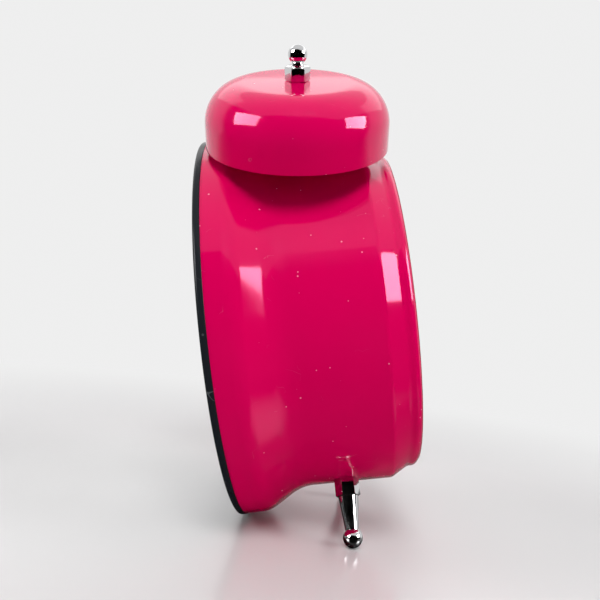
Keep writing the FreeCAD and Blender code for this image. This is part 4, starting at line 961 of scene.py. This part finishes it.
def raised_arrow(name, middle, radius, width, first, last, face, height, material):
    """A flat band along an arc, raised from a face of the back, with an arrow's head at its far end."""
    steps = 40
    turns = [first + (last - first) * step / steps for step in range(steps + 1)]
    tip = last + math.copysign(math.radians(24.0), last - first)
    wing = width * 1.5
    corners = [on_circle(radius + width / 2, turn) for turn in turns]
    corners += [on_circle(radius + wing, last), on_circle(radius, tip), on_circle(radius - wing, last)]
    corners += [on_circle(radius - width / 2, turn) for turn in reversed(turns)]
    work = bmesh.new()
    low, high = ([work.verts.new((middle[0] + x, level, middle[1] + z)) for x, z in corners]
                 for level in (face, face + height))
    work.faces.new(low)
    work.faces.new(high)
    for index in range(len(corners)):
        following = (index + 1) % len(corners)
        work.faces.new([low[index], low[following], high[following], high[index]])
    bmesh.ops.triangulate(work, faces=[face for face in work.faces if len(face.verts) > 4])
    return from_bmesh(name, work, CLOCK, MATERIALS[material])


class CLOCK_OT_back_marks(bpy.types.Operator):
    """Raise the ring and the turning arrows on the rear cover, and the ribs on the battery door"""

    bl_idname = "clock.back_marks"
    bl_label = "Back marks"

    def execute(self, context):
        s = context.scene.clock_sizes
        face = clock_box("rear_cover")[1].y
        inner, outer = 44.2 * MM, 45.4 * MM
        root, crest, edge = face - 0.1 * MM, face + 0.5 * MM, 0.2 * MM
        marks = [lathe("cover_ring", rounded([(inner, root), (outer, root), (outer, crest, edge),
                                              (inner, crest, edge)], 4), CLOCK, MATERIALS["plastic"], 192)]
        start, end = math.radians(20.0), math.radians(125.0)
        for node, sign in (("time_knob", 1), ("alarm_knob", -1)):
            first, last = clock_box(node)
            middle = ((first.x + last.x) / 2, (first.z + last.z) / 2)
            marks.append(raised_arrow(f"arrow_{node}", middle, s.knob_radius + 2.2 * MM, 0.9 * MM, sign * start,
                                      sign * end, face - 0.05 * MM, 0.35 * MM, "plastic"))
        ready(joined("cover_marks", marks), "clock", "black_plastic")
        first, last = clock_box("battery_door")
        count, step = 9, 1.5 * MM
        lowest = (first.z + last.z) / 2 - step * (count - 1) / 2
        place = CLOCK @ Matrix.Translation((0.0, face - 0.3 * MM, lowest))
        ribs = grown("door_ribs", make_row_tree(), place, "plastic", Count=count, Step=(0.0, 0.0, step),
                     Size=(22.0 * MM, 0.7 * MM, 0.6 * MM))
        ready(ribs, "battery_door", "black_plastic")
        return {"FINISHED"}


def wound_wire(name, start, end, turns, first_radius, last_radius, wire, material):
    """A conical coil spring along X from start to end."""
    steps = 24
    count = int(turns * steps)
    curve = bpy.data.curves.new(name, "CURVE")
    curve.dimensions = "3D"
    curve.bevel_depth = wire
    curve.bevel_resolution = 3
    curve.use_fill_caps = True
    spline = curve.splines.new("POLY")
    spline.points.add(count)
    for index in range(count + 1):
        share = index / count
        radius = first_radius + (last_radius - first_radius) * share
        across, along_y = on_circle(radius, 2 * math.pi * index / steps)
        middle = start.lerp(end, share)
        spline.points[index].co = (middle.x, middle.y + along_y, middle.z + across, 1.0)
    thing = bpy.data.objects.new(name, curve)
    bpy.context.scene.collection.objects.link(thing)
    mesh = evaluated_mesh(thing)
    bpy.data.objects.remove(thing)
    mesh.transform(CLOCK)
    smooth_shade(mesh, 60.0)
    return new_object(name, mesh, MATERIALS[material])


def cell_outline(radius, length):
    """Outline of a cell's can along its axis, from its flat end to its button."""
    inset, bevel = 0.25 * MM, 0.2 * MM
    button, top = radius * 0.38, length + 1.45 * MM
    return rounded([
        (0.0, 0.0), (radius * 0.62, 0.0, bevel), (radius * 0.7, inset, bevel), (radius, inset, 0.5 * MM),
        (radius, length - inset, 0.6 * MM), (radius * 0.8, length - inset, bevel), (radius * 0.72, length, bevel),
        (button, length, 0.15 * MM), (button, top, 0.4 * MM), (0.0, top),
    ], 4)


class CLOCK_OT_cells(bpy.types.Operator):
    """Make the two cells and the springs that press on them"""

    bl_idname = "clock.cells"
    bl_label = "Cells"

    def execute(self, context):
        end_wall = clock_box("battery_box")[1].x - 1.2 * MM
        coils = []
        for node, side in (("cell_upper", 1), ("cell_lower", -1)):
            first, last = clock_box(node)
            radius = (last.z - first.z) / 2
            middle = Vector((0.0, (first.y + last.y) / 2, (first.z + last.z) / 2))
            length = last.x - first.x - 1.5 * MM
            minus = -side * length / 2
            toward = Matrix.Rotation(-side * math.pi / 2, 4, "Z")
            place = CLOCK @ Matrix.Translation(middle + Vector((minus, 0.0, 0.0))) @ toward
            can = lathe(node + "_can", cell_outline(radius, length), place, MATERIALS["wrap"], 96, 40.0)
            ready(can, "clock", "cell_wrap", node)
            inner, outer, edge = radius - 0.3 * MM, radius + 0.04 * MM, 0.02 * MM
            start, end = length * 0.72, length - 0.9 * MM
            sleeve = rounded([(inner, start), (outer, start, edge), (outer, end, edge), (inner, end)], 2)
            ready(lathe(node + "_band", sleeve, place, MATERIALS["wrap_band"], 96, 60.0), "clock", "cell_wrap")
            coils.append(wound_wire(node + "_spring", middle + Vector((minus - side * 0.3 * MM, 0.0, 0.0)),
                                    Vector((-side * (end_wall - 0.65 * MM), middle.y, middle.z)), 2.5, 2.4 * MM,
                                    4.0 * MM, 0.25 * MM, "zinc"))
            centre = Vector((-side * (end_wall - 0.2 * MM), middle.y, middle.z))
            reach = Vector((0.19 * MM, 5.8 * MM, 5.8 * MM))
            plate = block(node + "_plate", centre - reach, centre + reach, CLOCK, MATERIALS["zinc"])
            bevelled(plate, 0.1 * MM)
            coils.append(plate)
        ready(joined("cell_coils", coils), "clock", "zinc_steel", "cell_springs")
        return {"FINISHED"}


class CLOCK_OT_stage(bpy.types.Operator):
    """Set the pale sweep, the lights and the camera"""

    bl_idname = "clock.stage"
    bl_label = "Stage"

    def execute(self, context):
        stage = context.scene.clock_stage
        near, far = sweep(make_sheet_material())
        far.visible_diffuse = False
        pane, soft = (0.56, 0.46), (0.5, 0.5)
        for name, place, size, power in (
            ("pane_left", (0.50, -0.86, 0.46), pane, stage.pane_left),
            ("pane_right", (0.33, 0.94, 0.58), pane, stage.pane_right),
            ("ceiling", (0.0, 0.0, 1.25), (2.6, 2.6), stage.ceiling_power),
        ):
            add_light(name, place, size, power).visible_diffuse = False
        for name, place, size, power in (
            ("side_front", (0.15, -0.95, 0.45), soft, stage.side_power),
            ("side_back", (0.15, 0.95, 0.45), soft, stage.side_power),
            ("key", (0.75, 0.0, 0.85), (0.45, 0.45), stage.key_power),
            ("key_opposite", (-0.75, 0.0, 0.85), (0.45, 0.45), stage.key_power * stage.key_share),
            ("top_light", (0.0, 0.0, 1.2), (1.3, 1.3), stage.top_power),
        ):
            add_light(name, place, size, power).visible_glossy = False
        world = bpy.data.worlds.new("Room")
        world.use_nodes = True
        set_constants(world.node_tree.nodes["Background"], Color=WHITE, Strength=stage.room)
        context.scene.world = world
        context.scene.view_settings.view_transform = "Standard"
        lens = bpy.data.cameras.new("camera")
        lens.lens = stage.camera_lens
        lens.sensor_width = stage.camera_sensor
        lens.clip_start = 0.01
        camera = bpy.data.objects.new("camera", lens)
        context.scene.collection.objects.link(camera)
        place = BEZEL_POINT + Vector(stage.camera_place)
        aim = aimed(place, BEZEL_POINT + Vector(stage.camera_target))
        camera.matrix_world = aim @ Matrix.Rotation(stage.camera_roll, 4, "Z")
        context.scene.camera = camera
        return {"FINISHED"}


def make_sheet_material():
    """A pale sheet, glossy near the clock, that brightens evenly away from it."""
    finish = bpy.context.scene.clock_finish
    bright = bpy.context.scene.clock_stage.backdrop
    material, tree, shader, vector = new_material("Pale sheet")
    pale = clouded(tree, vector, 6.0, 3.0, tuple(channel * 0.97 for channel in finish.floor), finish.floor)
    distance = add(tree, "ShaderNodeVectorMath", {"operation": "LENGTH"})
    feed(tree, distance, 0, vector)
    away = smooth_step(tree, distance.outputs["Value"], 0.06, 0.36)
    dry = smooth_step(tree, distance.outputs["Value"], 0.06, 0.15)
    # On the camera's side the sheet is dark in reflections, so the case keeps its full colour.
    mirrored = tree.nodes.new("ShaderNodeLightPath").outputs["Is Glossy Ray"]
    toward = add(tree, "ShaderNodeSeparateXYZ", Vector=vector).outputs["X"]
    hidden = calculate(tree, "MULTIPLY", mirrored, smooth_step(tree, toward, -0.4, 0.05))
    unlit = calculate(tree, "MAXIMUM", away, hidden)
    seen = calculate(tree, "MULTIPLY", away, calculate(tree, "SUBTRACT", 1.0, hidden))
    feed(tree, shader, "Base Color", blended(tree, unlit, pale, BLACK))
    feed(tree, shader, "Coat Weight", calculate(tree, "SUBTRACT", 1.0, dry))
    feed(tree, shader, "Emission Color", blended(tree, seen, BLACK, (bright, bright, bright, 1.0)))
    set_constants(shader, Coat_Roughness=0.2, Emission_Strength=1.0, Roughness=0.34, Specular_IOR_Level=0.0)
    return material


def sweep(material):
    """A flat floor near the clock, and the rest of the floor curving up into a backdrop all round."""
    reach, floor_radius, bend, top = 0.6, 1.4, 0.8, 3.2
    outline = [(reach, 0.0), (floor_radius, 0.0)]
    outline += [(floor_radius + bend * math.sin(turn), bend * (1 - math.cos(turn)))
                for turn in (math.pi / 2 * step / 16 for step in range(1, 17))]
    outline.append((floor_radius + bend, top))
    return (turned_sheet("floor", [(0.0, 0.0), (reach, 0.0)], material),
            turned_sheet("backdrop", outline, material))


def turned_sheet(name, outline, material, segments=96):
    """An open surface turned about the upright axis from (radius, height) points."""
    work = bmesh.new()
    rings = []
    for radius, height in outline:
        if radius == 0.0:
            rings.append([work.verts.new((0.0, 0.0, height))])
            continue
        rings.append([work.verts.new((radius * math.cos(turn), radius * math.sin(turn), height))
                      for turn in (2 * math.pi * index / segments for index in range(segments))])
    for first, second in zip(rings, rings[1:]):
        for index in range(segments):
            following = (index + 1) % segments
            corners = [first[index % len(first)], first[following % len(first)], second[following], second[index]]
            work.faces.new(list(dict.fromkeys(corners)))
    mesh = to_mesh(name, work)
    mesh.shade_smooth()
    return new_object(name, mesh, material)


def aimed(place, target):
    """Placement at place of something that looks at target."""
    view = target - place
    return Matrix.Translation(place) @ view.to_track_quat("-Z", "Y").to_matrix().to_4x4()


def add_light(name, place, size, power):
    """A rectangular softbox aimed at the clock."""
    lamp = bpy.data.lights.new(name, "AREA")
    lamp.shape = "RECTANGLE"
    lamp.size, lamp.size_y = size
    lamp.energy = power
    thing = bpy.data.objects.new(name, lamp)
    bpy.context.scene.collection.objects.link(thing)
    thing.matrix_world = aimed(Vector(place), Vector((0.0, 0.0, 0.06)))
    return thing


class CLOCK_PT_panel(bpy.types.Panel):
    """Every piece of the clock and its settings"""

    bl_idname = "CLOCK_PT_panel"
    bl_label = "Alarm clock"
    bl_space_type = "VIEW_3D"
    bl_region_type = "UI"
    bl_category = "Clock"

    def draw(self, context):
        for operator in OPERATORS:
            self.layout.operator(operator.bl_idname)
        for group in (context.scene.clock_sizes, context.scene.clock_finish, context.scene.clock_stage):
            for name in group.__annotations__:
                self.layout.prop(group, name)


GROUPS = (("clock_sizes", ClockSizes), ("clock_finish", ClockFinish), ("clock_stage", ClockStage))
OPERATORS = (CLOCK_OT_stage, CLOCK_OT_case, CLOCK_OT_front, CLOCK_OT_dial, CLOCK_OT_bells, CLOCK_OT_finials,
             CLOCK_OT_feet, CLOCK_OT_hands, CLOCK_OT_hammer, CLOCK_OT_back, CLOCK_OT_back_marks,
             CLOCK_OT_cells, CLOCK_OT_works)


def register():
    """Register the classes and hang the settings on the scene."""
    for name, group in GROUPS:
        bpy.utils.register_class(group)
        setattr(bpy.types.Scene, name, PointerProperty(type=group))
    for item in OPERATORS + (CLOCK_PT_panel,):
        bpy.utils.register_class(item)


def unregister():
    """Undo register."""
    for item in reversed(OPERATORS + (CLOCK_PT_panel,)):
        bpy.utils.unregister_class(item)
    for name, group in reversed(GROUPS):
        delattr(bpy.types.Scene, name)
        bpy.utils.unregister_class(group)


def main():
    """Build the clock in order."""
    register()
    MATERIALS.update(make_materials())
    for operator in OPERATORS:
        family, action = operator.bl_idname.split(".")
        getattr(getattr(bpy.ops, family), action)()


if __name__ == "__main__":
    main()
